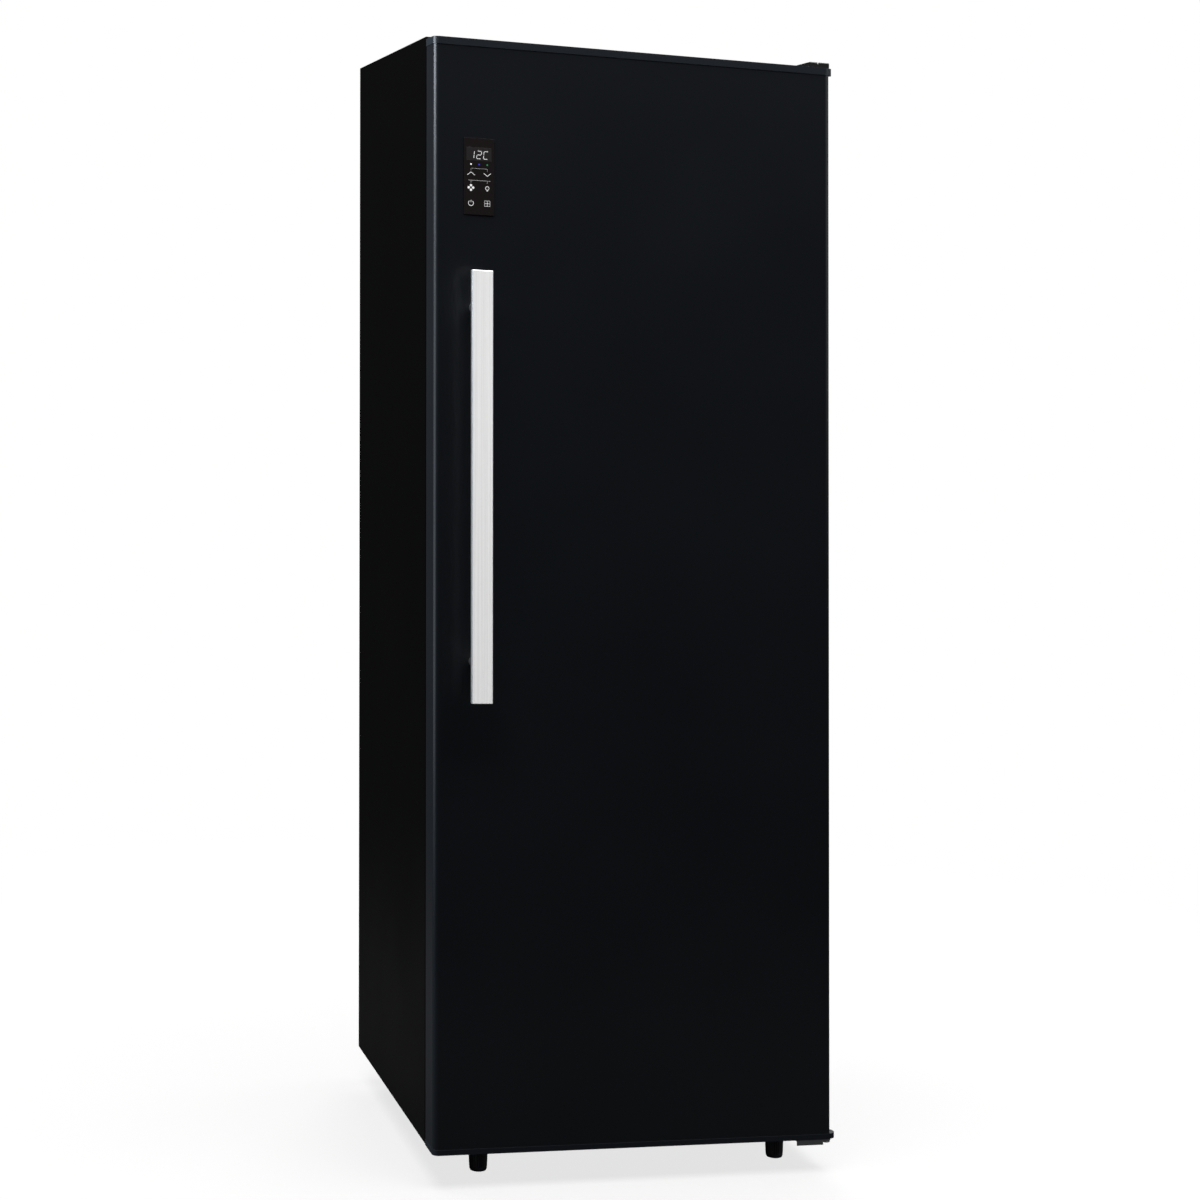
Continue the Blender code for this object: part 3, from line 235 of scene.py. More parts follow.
room = bpy.data.worlds.new("white_room")
scene.world = room
room.use_nodes = True
tree = room.node_tree
seen = tree.nodes["Background"]
soft = tree.nodes.new("ShaderNodeBackground")
for shade, colour, strength in ((seen, (1.0, 1.0, 1.0), 1.0), (soft, ROOM_TINT, ROOM_LIGHT)):
    shade.inputs["Color"].default_value = (*colour, 1.0)
    shade.inputs["Strength"].default_value = strength
ray = tree.nodes.new("ShaderNodeLightPath")
choice = tree.nodes.new("ShaderNodeMixShader")
tree.links.new(ray.outputs["Is Camera Ray"], choice.inputs[0])
tree.links.new(soft.outputs[0], choice.inputs[1])
tree.links.new(seen.outputs[0], choice.inputs[2])
tree.links.new(choice.outputs[0], tree.nodes["World Output"].inputs["Surface"])


def lamp(name, place, towards, width, height, power, colour=(1.0, 1.0, 1.0)):
    """A rectangular soft lamp that faces a point."""
    light = bpy.data.lights.new(name, "AREA")
    light.shape = "RECTANGLE"
    light.size = width
    light.size_y = height
    light.energy = power
    light.color = colour
    made = added(name, light)
    made.visible_camera = False
    made.location = place
    made.rotation_euler = (Vector(towards) - Vector(place)).to_track_quat("-Z", "Y").to_euler()
    return made


edge_lamp = lamp("edge_lamp", (-3.0, 0.2, 2.65), (-0.34, -0.25, 1.8), 2.6, 1.3, 120.0,
                 (0.84, 0.92, 1.0))
edge_fill = lamp("edge_fill", (-3.0, 0.2, 0.95), (-0.34, -0.25, 0.9), 2.6, 1.5, 16.0,
                 (0.80, 0.90, 1.0))
rim_lamp = lamp("rim_lamp", (3.3, -0.9, 2.2), (0.33, -0.29, 1.6), 3.8, 2.0, 13.0,
                (0.92, 0.97, 1.0))
lamp("overhead_lamp", (0.0, -0.6, 4.6), (0.0, 0.0, 0.0), 4.5, 4.5, 330.0)
right_lamp = lamp("right_lamp", (4.2, 0.4, 2.2), (0.3, 0.0, 1.0), 1.2, 2.4, 110.0)
lamp("back_lamp", (1.2, 4.4, 2.6), (0.0, 0.4, 0.9), 2.2, 1.6, 130.0)
steel_lamp = lamp("steel_lamp", (1.6, -4.2, 1.9), (-0.28, -0.3, 1.1), 2.4, 3.4, 47.0)
steel_floor_lamp = lamp("steel_floor_lamp", (0.9, -3.4, 0.02), (0.9, -3.4, 1.0), 3.0, 3.6, 38.0)
scene.view_settings.view_transform = "Standard"


# Cabinet shell
# One sheet of 1.2 mm steel folded over both sides and the top, a bent back panel and a galvanised
# pan underneath, painted satin black outside. The folds and cut edges are slightly round.
SHEET = 0.0012
FOLD_R = 0.0010
CUT_R = 0.0004


def edit(piece):
    """Go into edit mode on a piece, with all of it selected."""
    alone(piece)
    bpy.ops.object.mode_set(mode="EDIT")
    bpy.ops.mesh.select_all(action="SELECT")


def leave():
    """Go back to object mode."""
    bpy.ops.object.mode_set(mode="OBJECT")


def merge_faces(piece):
    """Merge a copied shape's loose triangles into its real flat faces."""
    alone(piece)
    bpy.ops.mesh.customdata_custom_splitnormals_clear()
    edit(piece)
    bpy.ops.mesh.remove_doubles(threshold=1e-5)
    bpy.ops.mesh.dissolve_limited(angle_limit=math.radians(1.0))
    leave()


def modify(piece, kind, **settings):
    """Add a modifier to a piece and apply it."""
    modifier = piece.modifiers.new(kind, kind)
    for name, value in settings.items():
        setattr(modifier, name, value)
    alone(piece)
    bpy.ops.object.modifier_apply(modifier=modifier.name)


def round_edges(piece, width, segments=2, angle=35.0):
    """Round every edge that is sharper than the angle."""
    modify(piece, "BEVEL", width=width, segments=segments, limit_method="ANGLE",
           angle_limit=math.radians(angle))


def complete(piece, body, slot, finish, *stands_for, smooth=32.0):
    """Shade a piece, give it its finish, and fix it to its body."""
    alone(piece)
    bpy.ops.object.transform_apply(location=True, rotation=True, scale=True)
    bpy.ops.object.shade_smooth_by_angle(angle=math.radians(smooth))
    modify(piece, "WEIGHTED_NORMAL", keep_sharp=True)
    piece.data.materials.clear()
    piece.data.materials.append(finish.material)
    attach(piece, body)
    if stands_for:
        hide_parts(*stands_for)
    return piece


def softened(name, of_node, width, body, slot, finish, segments=2, angle=35.0):
    """A piece after a CAD node's own shape, with its edges rounded."""
    piece = added(name, node[of_node].data.copy())
    merge_faces(piece)
    round_edges(piece, width, segments, angle)
    return complete(piece, body, slot, finish, of_node)


def paint(name, colour, roughness, cloud=0.10, peel=0.00003, specular=0.5):
    """Satin enamel: a fine orange peel, and a sheen that drifts over the sheet."""
    made = Finish(name, colour, roughness, specular=specular)
    here = made.place()
    drift = made.noise(here, 3.1, 2.0)
    fine = made.noise(here, 520.0, 2.0)
    made.sheen(drift * 0.7 + fine * 0.3, roughness - cloud / 2, roughness + cloud / 2, 0.25, 0.75)
    made.tint(drift, [c * 0.85 for c in colour], [c * 1.2 for c in colour])
    made.bump(made.noise(here, 260.0, 2.0), peel, 0.35)
    made.bump(made.noise(here, 1900.0, 2.0), peel * 0.4, 0.25)
    return made


def zinc(name, colour=(0.52, 0.53, 0.54), roughness=0.38):
    """Galvanised steel: faint crystals, each with its own sheen."""
    made = Finish(name, colour, roughness, metallic=1.0)
    here = made.place()
    crystal = made.node("ShaderNodeTexVoronoi", {"feature": "F1"}, {"Vector": here, "Scale": 95.0},
                        out=1)
    tone = made.axis(crystal, "X")
    made.tint(tone, [c * 0.86 for c in colour], colour)
    made.sheen(tone, roughness - 0.08, roughness + 0.09)
    made.bump(made.noise(here, 700.0), 0.00002, 0.3)
    return made


cabinet_paint = paint("satin_black_paint", (0.0046, 0.0045, 0.0047), 0.42, specular=0.15)
galvanised = zinc("galvanised_steel")
softened("cabinet_shell", "outer_shell", FOLD_R, "cabinet", "cabinet_paint", cabinet_paint)
softened("rear_panel", "back_panel", CUT_R, "cabinet", "cabinet_paint", cabinet_paint)
softened("floor_pan", "base_pan", CUT_R, "cabinet", "zinc_steel", galvanised)


# Door skin
# Blue-black satin enamel on 1.2 mm steel, rolled round the two upright edges and returned behind
# the door. The foam behind keeps the face flat.
DOOR_EDGE_R = 0.010
DOOR_RETURN = 0.012
EDGE_STEPS = 14
NEAR = 0.001                # how close an edge lies to a side to belong to it


def block(name, low, high):
    """Add a cube that reaches from one corner to the other."""
    low, high = Vector(low), Vector(high)
    bpy.ops.object.select_all(action="DESELECT")
    bpy.ops.mesh.primitive_cube_add(size=1, location=(low + high) / 2, scale=high - low)
    piece = bpy.context.active_object
    piece.name = name
    bpy.ops.object.transform_apply(location=True, rotation=True, scale=True)
    return piece


def pick(piece, kind, wanted):
    """In edit mode, select only the faces, edges or corners that are wanted."""
    bpy.ops.mesh.select_mode(type={"faces": "FACE", "edges": "EDGE", "verts": "VERT"}[kind])
    bpy.ops.mesh.select_all(action="DESELECT")
    mesh = bmesh.from_edit_mesh(piece.data)
    for item in getattr(mesh, kind):
        item.select_set(wanted(item))
    mesh.select_flush_mode()
    bmesh.update_edit_mesh(piece.data)


def upright(edge):
    """Whether an edge stands upright."""
    start, end = (corner.co for corner in edge.verts)
    return abs(start.x - end.x) + abs(start.y - end.y) < 1e-6


def middle_of(edge):
    """The middle of an edge."""
    return (edge.verts[0].co + edge.verts[1].co) / 2


skin_low, skin_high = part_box("door_skin")
skin = block("door_face", skin_low, skin_high)
edit(skin)
pick(skin, "faces", lambda face: abs(face.normal.z) > 0.9 or face.normal.y > 0.9)
bpy.ops.mesh.delete(type="FACE")
pick(skin, "edges", lambda edge: upright(edge) and middle_of(edge).y < skin_low.y + NEAR)
bpy.ops.mesh.bevel(offset=DOOR_EDGE_R, segments=EDGE_STEPS, affect="EDGES")
for side, edge_x in ((1, skin_low.x), (-1, skin_high.x)):
    pick(skin, "edges", lambda edge: upright(edge) and middle_of(edge).y > skin_high.y - NEAR
         and abs(middle_of(edge).x - edge_x) < NEAR)
    bpy.ops.mesh.extrude_region_move(TRANSFORM_OT_translate={"value": (side * DOOR_RETURN, 0, 0)})
bpy.ops.mesh.select_all(action="SELECT")
bpy.ops.mesh.normals_make_consistent(inside=False)
leave()
modify(skin, "SOLIDIFY", thickness=SHEET, offset=-1.0, use_even_offset=True)
door_paint = paint("blue_black_paint", (0.0076, 0.0094, 0.0124), 0.30, cloud=0.06, peel=0.000008)
complete(skin, "door", "door_paint", door_paint, "door_skin", smooth=25.0)


# Door end caps
# Injection-moulded covers that close the skin above and below and carry the hinge bosses. They
# stand out a little from the skin and show a lighter, finely textured blue-grey.
CAP_EDGE = 0.0012


def moulded(name, colour, roughness, grain=0.00006, size=900.0, specular=0.5):
    """Textured plastic from a spark-eroded mould."""
    made = Finish(name, colour, roughness, specular=specular)
    here = made.place()
    fine = made.noise(here, size, 3.0)
    broad = made.noise(here, 7.0, 2.0)
    made.tint(broad, [c * 0.88 for c in colour], [c * 1.14 for c in colour])
    made.sheen(fine * 0.6 + broad * 0.4, roughness - 0.06, roughness + 0.07)
    made.bump(fine, grain, 0.5)
    return made


cap_plastic = moulded("blue_grey_plastic", (0.0135, 0.0175, 0.0235), 0.36)
black_plastic = moulded("black_plastic", (0.010, 0.010, 0.011), 0.44)
# The lower cap's copy of this plastic is rougher and also darker, to hold down the light on its
# boss: the darker colour is painted shade.
shaded_dull_cap = moulded("dull_blue_grey_plastic", (0.0120, 0.0150, 0.0200), 0.62, specular=0.2)
softened("door_cap_above", "door_top_cap", CAP_EDGE, "door", "black_plastic", cap_plastic, 3, 50.0)
softened("door_cap_below", "door_bottom_cap", CAP_EDGE, "door", "black_plastic", shaded_dull_cap, 3, 50.0)


# Handle
# A flat bar of brushed stainless steel, grained along its length with polished edges, on two round
# posts. Each post has a small collar where it meets the door.
BAR_EDGE = 0.0014
POST_STEPS = 48
COLLAR_T = 0.003
COLLAR_GROOVE = 0.0007


def brushed(name, colour, roughness, along):
    """Brushed stainless steel with its grain along one axis."""
    made = Finish(name, colour, roughness, metallic=1.0)
    stretch = [3800.0, 3800.0, 3800.0]
    stretch["XYZ".index(along)] = 22.0
    here = made.place(stretch)
    hair = made.noise(here, 1.0, 4.0, 0.65)
    wide = made.noise(made.place([s / 9 for s in stretch]), 1.0, 2.0)
    made.sheen(hair, roughness - 0.07, roughness + 0.09, 0.3, 0.7)
    made.tint(made.spread(hair * 0.4 + wide * 0.6, 0.0, 1.0, 0.3, 0.7),
              [c * 0.82 for c in colour], colour)
    made.bump(hair, 0.00002, 0.4)
    return made


def seal(piece):
    """Merge a shape's doubled corners and make its faces point outwards."""
    edit(piece)
    bpy.ops.mesh.remove_doubles(threshold=1e-6)
    bpy.ops.mesh.normals_make_consistent(inside=False)
    leave()


def turned(name, profile, centre, axis="Z", steps=32):
    """Turn a profile of (radius, height) points about an axis through the centre."""
    mesh = bpy.data.meshes.new(name)
    mesh.from_pydata([(radius, 0.0, height) for radius, height in profile],
                     [(i, i + 1) for i in range(len(profile) - 1)], [])
    piece = added(name, mesh)
    edit(piece)
    bpy.ops.mesh.spin(steps=steps, angle=2 * math.pi, center=(0, 0, 0), axis=(0, 0, 1))
    leave()
    seal(piece)
    turn = {"X": Matrix.Rotation(math.pi / 2, 4, "Y"), "Y": Matrix.Rotation(-math.pi / 2, 4, "X"),
            "Z": Matrix.Identity(4)}[axis]
    piece.data.transform(Matrix.Translation(centre) @ turn)
    return piece


handle_steel = brushed("brushed_stainless", (0.80, 0.80, 0.797), 0.34, "Z")
post_steel = brushed("turned_stainless", (0.62, 0.62, 0.61), 0.34, "Y")
softened("handle_flat_bar", "handle_bar", BAR_EDGE, "door", "handle_steel", handle_steel, 3)
for which in ("top", "bottom"):
    low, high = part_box(f"handle_post_{which}")
    post_r = (high.x - low.x) / 2
    length = high.y - low.y
    neck_r = post_r - COLLAR_GROOVE
    profile = [(0, 0), (post_r - 0.0006, 0), (post_r, 0.0006), (post_r, length - COLLAR_T - 0.001),
               (neck_r, length - COLLAR_T - 0.0005), (neck_r, length - COLLAR_T),
               (post_r, length - COLLAR_T + 0.0004), (post_r, length - 0.0004),
               (post_r - 0.0004, length), (0, length)]
    post = turned(f"handle_stand_{which}", profile,
                  ((low.x + high.x) / 2, low.y, (low.z + high.z) / 2), "Y", POST_STEPS)
    complete(post, "door", "handle_steel", post_steel, f"handle_post_{which}")


# Touch panel
# A sheet of tinted glass stuck on the door, printed dark brown behind. A lit number, three small
# lights and the touch signs show through it.
PANEL_EDGE = 0.0004
SIGN_T = 0.00018            # half a stroke's thickness, so that it stands this far out
NUMBER_TOP = 0.0208         # these lie below the glass's top edge
LIGHT_ROW = 0.0425
RULE_ROW = 0.0492
LINE_ROW = 0.0685
FAN_ROW = 0.0805
GRID_ROW = 0.1050
SIGN_LEFT = 0.0120          # and these to the right of its left edge
SIGN_MIDDLE = 0.0255
SIGN_RIGHT = 0.0390
LEAF_OUT = 0.0036
GRID = 0.0044

panel_low, panel_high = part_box("control_panel")
glass = Finish("tinted_glass", (0.0190, 0.0145, 0.0150), 0.18, coat=0.2)
here = glass.place()
glass.sheen(glass.noise(here, 24.0, 3.0), 0.13, 0.22)
glass.tint(glass.noise(here, 55.0, 2.0), (0.0175, 0.0135, 0.0138), (0.0205, 0.0160, 0.0163))
softened("touch_glass", "control_panel", PANEL_EDGE, "door", "panel_glass", glass, 2)


def lit(name, colour, strength):
    """Translucent ink with a light behind it, its glow drifting a little from place to place."""
    made = Finish(name, [c * 0.6 for c in colour], 0.5)
    cloud = made.noise(made.place(), 900.0, 1.0)
    made.set("Emission Color", made.blend(cloud, [c * 0.82 for c in colour], colour))
    made.set("Emission Strength", strength)
    made.sheen(cloud, 0.4, 0.6)
    return made


def draw(shape, points, loop):
    """Add one line through points to a curve."""
    line = shape.splines.new("POLY")
    line.points.add(len(points) - 1)
    line.use_cyclic_u = loop
    for point, spot in zip(line.points, points):
        point.co = (*spot, 1.0)


def wire(name, paths, radius, sides=8):
    """Round wire or tube along paths of points; a path that ends where it starts is a loop."""
    shape = bpy.data.curves.new(name, "CURVE")
    shape.dimensions = "3D"
    shape.bevel_depth = radius
    shape.bevel_resolution = (sides - 4) // 2
    shape.use_fill_caps = True
    for path in paths:
        loop = Vector(path[0]) == Vector(path[-1])
        draw(shape, path[:-1] if loop else path, loop)
    alone(added(name, shape))
    bpy.ops.object.convert(target="MESH")
    return bpy.context.active_object


def strokes(name, paths, width, finish, depth=SIGN_T):
    """Flat strokes in the glass, each a path of points in metres from its top left corner."""
    routes = [[(panel_low.x + x, panel_low.y, panel_high.z - z) for x, z in path] for path in paths]
    piece = wire(name, routes, width / 2)
    edit(piece)
    bpy.ops.transform.resize(value=(1.0, 2 * depth / width, 1.0),
                             center_override=(0.0, panel_low.y, 0.0))
    leave()
    return complete(piece, "door", "panel_glass", finish)


def circle(x, y, radius, start=0.0, end=360.0, steps=24):
    """Points round a circle, or part of one, from the top, clockwise in degrees."""
    turns = [math.radians(start + (end - start) * i / steps) for i in range(steps + 1)]
    points = [(x + radius * math.sin(t), y - radius * math.cos(t)) for t in turns]
    if end - start == 360.0:
        points[-1] = points[0]
    return points


def digit(segments, x, y, width=0.0072, height=0.0124, lean=0.10, gap=0.0006):
    """The strokes of one seven-segment figure that leans to the right."""
    half = height / 2
    ends = {"a": ((0, 0), (1, 0)), "b": ((1, 0), (1, half)), "c": ((1, half), (1, height)),
            "d": ((0, height), (1, height)), "e": ((0, half), (0, height)),
            "f": ((0, 0), (0, half)), "g": ((0, half), (1, half))}
    paths = []
    for letter in segments:
        (ax, ay), (bx, by) = ends[letter]
        ax, bx = ax * width, bx * width
        flat = ay == by
        start = (ax + (gap if flat else 0), ay + (0 if flat else gap))
        stop = (bx - (gap if flat else 0), by - (0 if flat else gap))
        paths.append([(x + px + (height - py) * lean, y + py) for px, py in (start, stop)])
    return paths


white_ink = lit("white_ink", (1.0, 1.0, 1.0), 0.62)
window_ink = Finish("display_window", (0.030, 0.028, 0.028), 0.3)
window_ink.tint(window_ink.noise(window_ink.place(), 300.0), (0.030, 0.027, 0.027),
                (0.038, 0.035, 0.035))
window = block("display_window",
               (panel_low.x + 0.0045, panel_low.y - 0.00006, panel_high.z - 0.0365),
               (panel_low.x + 0.0460, panel_low.y + 0.0002, panel_high.z - 0.0150))
round_edges(window, 0.00005, 1)
complete(window, "door", "panel_glass", window_ink)
number = []
for segments, x in (("bc", 0.0093), ("abged", 0.0212), ("adef", 0.0325)):
    number += digit(segments, x, NUMBER_TOP)
strokes("display_number", number, 0.0010, white_ink)
for name, x, colour in (("white", SIGN_LEFT, (1.0, 1.0, 1.0)),
                        ("blue", SIGN_MIDDLE, (0.035, 0.030, 0.55)),
                        ("green", SIGN_RIGHT, (0.0, 0.26, 0.07))):
    strokes(f"light_{name}", [circle(x, LIGHT_ROW, 0.0006)], 0.0013,
            lit(f"{name}_light", colour, 1.0))
signs = [[(SIGN_LEFT - 0.0060, 0.0600), (SIGN_LEFT, 0.0552), (SIGN_LEFT + 0.0060, 0.0600)],
         [(SIGN_RIGHT - 0.0060, 0.0560), (SIGN_RIGHT, 0.0608), (SIGN_RIGHT + 0.0060, 0.0560)]]
strokes("sign_up_down", signs, 0.0009, white_ink)
rules = [[(SIGN_LEFT, 0.0530), (SIGN_LEFT, RULE_ROW), (SIGN_RIGHT, RULE_ROW),
          (SIGN_RIGHT, 0.0530)], [(0.0075, LINE_ROW), (0.0440, LINE_ROW)]]
rules += [[(x, LINE_ROW), (x, 0.0725)] for x in (SIGN_LEFT, SIGN_RIGHT)]
strokes("sign_rules", rules, 0.0005, lit("grey_ink", (0.72, 0.72, 0.72), 0.36))
leaves = [circle(SIGN_LEFT + x * LEAF_OUT, FAN_ROW + y * LEAF_OUT, 0.0010)
          for x, y in ((1, 0), (0, 1), (-1, 0), (0, -1))]
strokes("sign_fan", leaves, 0.0020, white_ink)
bulb = [circle(SIGN_RIGHT, 0.0803, 0.0029),
        [(SIGN_RIGHT - 0.0012, 0.0846), (SIGN_RIGHT + 0.0012, 0.0846)]]
strokes("sign_lamp", bulb, 0.0008, white_ink)
power = [circle(SIGN_LEFT, 0.1055, 0.0042, 35.0, 325.0), [(SIGN_LEFT, 0.1005), (SIGN_LEFT, 0.1040)]]
strokes("sign_power", power, 0.0008, white_ink)
grid = [[(SIGN_RIGHT + x * GRID, GRID_ROW + y * GRID) for x, y in path]
        for path in (((-1, -1), (1, -1), (1, 1), (-1, 1), (-1, -1)), ((0, -1), (0, 1)),
                     ((-1, 0), (1, 0)))]
strokes("sign_grid", grid, 0.0006, white_ink)


# Circuit board
# A green board behind the glass with one controller chip and a row of small parts.
board_green = Finish("solder_mask", (0.008, 0.11, 0.045), 0.38)
here = board_green.place()
copper_lines = board_green.node("ShaderNodeTexBrick", {"offset": 0.5},
                                {"Vector": here, "Scale": 260.0, "Mortar Size": 0.02}, out=1)
board_green.tint(copper_lines, (0.007, 0.10, 0.040), (0.016, 0.17, 0.075))
board_green.bump(copper_lines, 0.00003, 0.5)
softened("control_circuit", "control_board", 0.0002, "door", "circuit_board", board_green)


# Hinges
# Above, a 2.5 mm galvanised plate screwed to the cabinet carries the pin that hangs in the door's
# cap, under a moulded cover. Below, a stepped plate holds the pin that stands in the other cap, on
# a polished washer.
SCREW_R = 0.0036
SCREW_T = 0.0019
SKIRT_T = 0.0012            # the cover's skirt in front of the cabinet, down to the door's cap
SKIRT_GAP = 0.0007
COVER_SCREW = 0.42          # the cover's screw, against the others


def joined(name, pieces):
    """Make several meshes one object."""
    bpy.ops.object.select_all(action="DESELECT")
    for piece in pieces:
        piece.select_set(True)
    bpy.context.view_layer.objects.active = pieces[0]
    bpy.ops.object.join()
    pieces[0].name = name
    return pieces[0]


def screw(name, at, normal, radius=SCREW_R, height=SCREW_T):
    """A domed screw head with a cross recess, set on a surface that faces along the normal."""
    profile = [(0, 0), (radius, 0), (radius, height * 0.35), (radius * 0.86, height * 0.72),
               (radius * 0.5, height * 0.94), (0, height)]
    piece = turned(name, profile, (0, 0, 0), "Z", 20)
    for long_x, long_y in ((radius * 0.62, radius * 0.14), (radius * 0.14, radius * 0.62)):
        tool = block("bit", (-long_x, -long_y, height * 0.45), (long_x, long_y, height * 2))
        modify(piece, "BOOLEAN", operation="DIFFERENCE", solver="EXACT", object=tool)
        bpy.data.objects.remove(tool, do_unlink=True)
    turn = Vector((0, 0, 1)).rotation_difference(Vector(normal)).to_matrix().to_4x4()
    piece.data.transform(Matrix.Translation(at) @ turn)
    return piece


master_screw = screw("screw", (0, 0, 0), (0, 0, 1))
screw_mesh = master_screw.data.copy()
bpy.data.objects.remove(master_screw, do_unlink=True)


def screws(name, places, normal, body, slot, finish, scale=1.0):
    """Copies of the screw at several places, as one piece."""
    turn = Vector((0, 0, 1)).rotation_difference(Vector(normal)).to_matrix().to_4x4()
    made = bmesh.new()
    for spot in places:
        copy = screw_mesh.copy()
        copy.transform(Matrix.Translation(spot) @ turn @ Matrix.Scale(scale, 4))
        made.from_mesh(copy)
        bpy.data.meshes.remove(copy)
    mesh = bpy.data.meshes.new(name)
    made.to_mesh(mesh)
    made.free()
    return complete(added(name, mesh), body, slot, finish)


washer_steel = brushed("polished_steel", (0.72, 0.72, 0.71), 0.22, "Z")
hinge_zinc = zinc("hinge_zinc", (0.60, 0.61, 0.62), 0.46)
# The upper plate under the cover gets a much darker zinc than the lower plate, to keep light off it
# there: painted shade.
dark_zinc = zinc("dark_zinc", (0.16, 0.16, 0.165), 0.48)
softened("hinge_plate_above", "top_hinge_plate", 0.0004, "cabinet", "zinc_steel", dark_zinc)
cover = softened("hinge_cover", "top_hinge_cover", 0.0006, "cabinet", "black_plastic",
                 black_plastic)
low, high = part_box("top_hinge_cover")
cap_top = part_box("door_top_cap")[1].z + SKIRT_GAP
front_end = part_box("outer_shell")[0].y - SKIRT_GAP
skirt = [block("skirt", (low.x, low.y, cap_top), (high.x, low.y + SKIRT_T, low.z + SKIRT_T))]
for x in (low.x, high.x - SKIRT_T):
    skirt.append(block("skirt", (x, low.y, cap_top), (x + SKIRT_T, front_end, low.z + SKIRT_T)))
for piece in skirt:
    round_edges(piece, 0.0003, 1)
cover = joined("hinge_cover_above", [cover, *skirt])
complete(cover, "cabinet", "black_plastic", black_plastic)
softened("hinge_plate_below", "bottom_hinge_plate", 0.0005, "cabinet", "zinc_steel", hinge_zinc)
low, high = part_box("bottom_hinge_plate")
places = [(high.x - in_x, low.y + in_y, low.z) for in_x, in_y in ((0.030, 0.085), (0.018, 0.100))]
screws("hinge_screws_below", places, (0, 0, -1), "cabinet", "zinc_steel", hinge_zinc)
for name, of_node in (("hinge_pin_below", "bottom_hinge_pin"), ("hinge_ring", "hinge_washer")):
    softened(name, of_node, 0.0003, "cabinet", "handle_steel", washer_steel, 2, 50.0)
low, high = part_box("top_hinge_cover")
screws("hinge_cover_screw", [(low.x + 0.0138, low.y + 0.0003, high.z - 0.0020)], (0, -1, 0),
       "cabinet", "zinc_steel", hinge_zinc, COVER_SCREW)


# Door liner and gasket
# The back of the door is vacuum-formed grey polystyrene with a raised pad. A magnetic gasket of
# black PVC runs round it: a bellows with a flat lip that meets the cabinet.
PAD_EDGE = 0.0016
GASKET_CORNER_R = 0.006
GASKET_HALF = 0.008
GASKET_FOOT = 0.0050        # half the width where it sits in the door's groove
GASKET_WAIST = 0.0028


def rounded(corners, radius, steps=6, loop=False):
    """A route through square corners, each one rounded."""
    corners = [Vector(corner) for corner in corners]
    if loop:
        corners = [corners[-1], *corners, corners[0]]
    route = [] if loop else [corners[0]]
    for before, corner, after in zip(corners, corners[1:], corners[2:]):
        first = corner + (before - corner).normalized() * radius
        last = corner + (after - corner).normalized() * radius
        middle = first + last - corner
        for i in range(steps + 1):
            turn = math.pi / 2 * i / steps
            route.append(middle + (first - middle) * math.cos(turn)
                         + (last - middle) * math.sin(turn))
    route.append(route[0] if loop else corners[-1])
    return route


def outline(name, points):
    """A flat closed curve through points."""
    shape = bpy.data.curves.new(name, "CURVE")
    shape.dimensions = "2D"
    draw(shape, [(*spot[:2], 0.0) for spot in points], True)
    return added(name, shape)


liner_plastic = moulded("grey_liner", (0.155, 0.157, 0.162), 0.42, 0.00005, 640.0)
softened("door_inner_pad", "door_liner", PAD_EDGE, "door", "liner_plastic", liner_plastic, 3)
low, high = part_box("door_gasket")
lip = high.y - low.y
half_profile = [(GASKET_FOOT, 0.0), (GASKET_FOOT, lip * 0.22), (GASKET_WAIST, lip * 0.40),
                (0.0070, lip * 0.62), (GASKET_HALF, lip * 0.78), (0.0074, lip)]
section = outline("gasket_section", half_profile + [(-x, z) for x, z in reversed(half_profile)])
near_x, far_x = low.x + GASKET_HALF, high.x - GASKET_HALF
near_z, far_z = low.z + GASKET_HALF, high.z - GASKET_HALF
corners = [(near_x, near_z, 0.0), (far_x, near_z, 0.0), (far_x, far_z, 0.0), (near_x, far_z, 0.0)]
gasket = outline("magnetic_gasket", rounded(corners, GASKET_CORNER_R, 6, loop=True)[:-1])
gasket.data.fill_mode = "NONE"
gasket.data.bevel_mode = "OBJECT"
gasket.data.bevel_object = section
alone(gasket)
bpy.ops.object.convert(target="MESH")
gasket = bpy.context.active_object
bpy.data.objects.remove(section, do_unlink=True)
gasket.data.transform(Matrix(((1, 0, 0, 0), (0, 0, 1, low.y), (0, 1, 0, 0), (0, 0, 0, 1))))
seal(gasket)


def rubber(name, colour=(0.012, 0.012, 0.013), roughness=0.62):
    """Soft black rubber with a dull bloom."""
    made = Finish(name, colour, roughness, specular=0.4)
    here = made.place()
    bloom = made.noise(here, 38.0, 4.0)
    made.tint(bloom, colour, [c * 1.7 for c in colour])
    made.sheen(bloom, roughness - 0.08, roughness + 0.12)
    made.bump(made.noise(here, 1300.0, 2.0), 0.00003, 0.4)
    return made


seal_rubber = rubber("black_pvc")
complete(gasket, "door", "seal_rubber", seal_rubber, "door_gasket")


# Front feet
# Black nylon levelling feet with upright finger ribs and a rounded foot, on galvanised threaded
# stems. They are a little narrower at the floor.
FOOT_RIBS = 24
RIB_DEPTH = 0.0015
RIB_LOW = 0.0072            # the ribs run from here
RIB_TOP = 0.008             # to this far below the foot's top
THREAD_PITCH = 0.0015
THREAD_DEPTH = 0.0006


def base_of(low, high):
    """The middle of a box's underside."""
    return Vector(((low.x + high.x) / 2, (low.y + high.y) / 2, low.z))


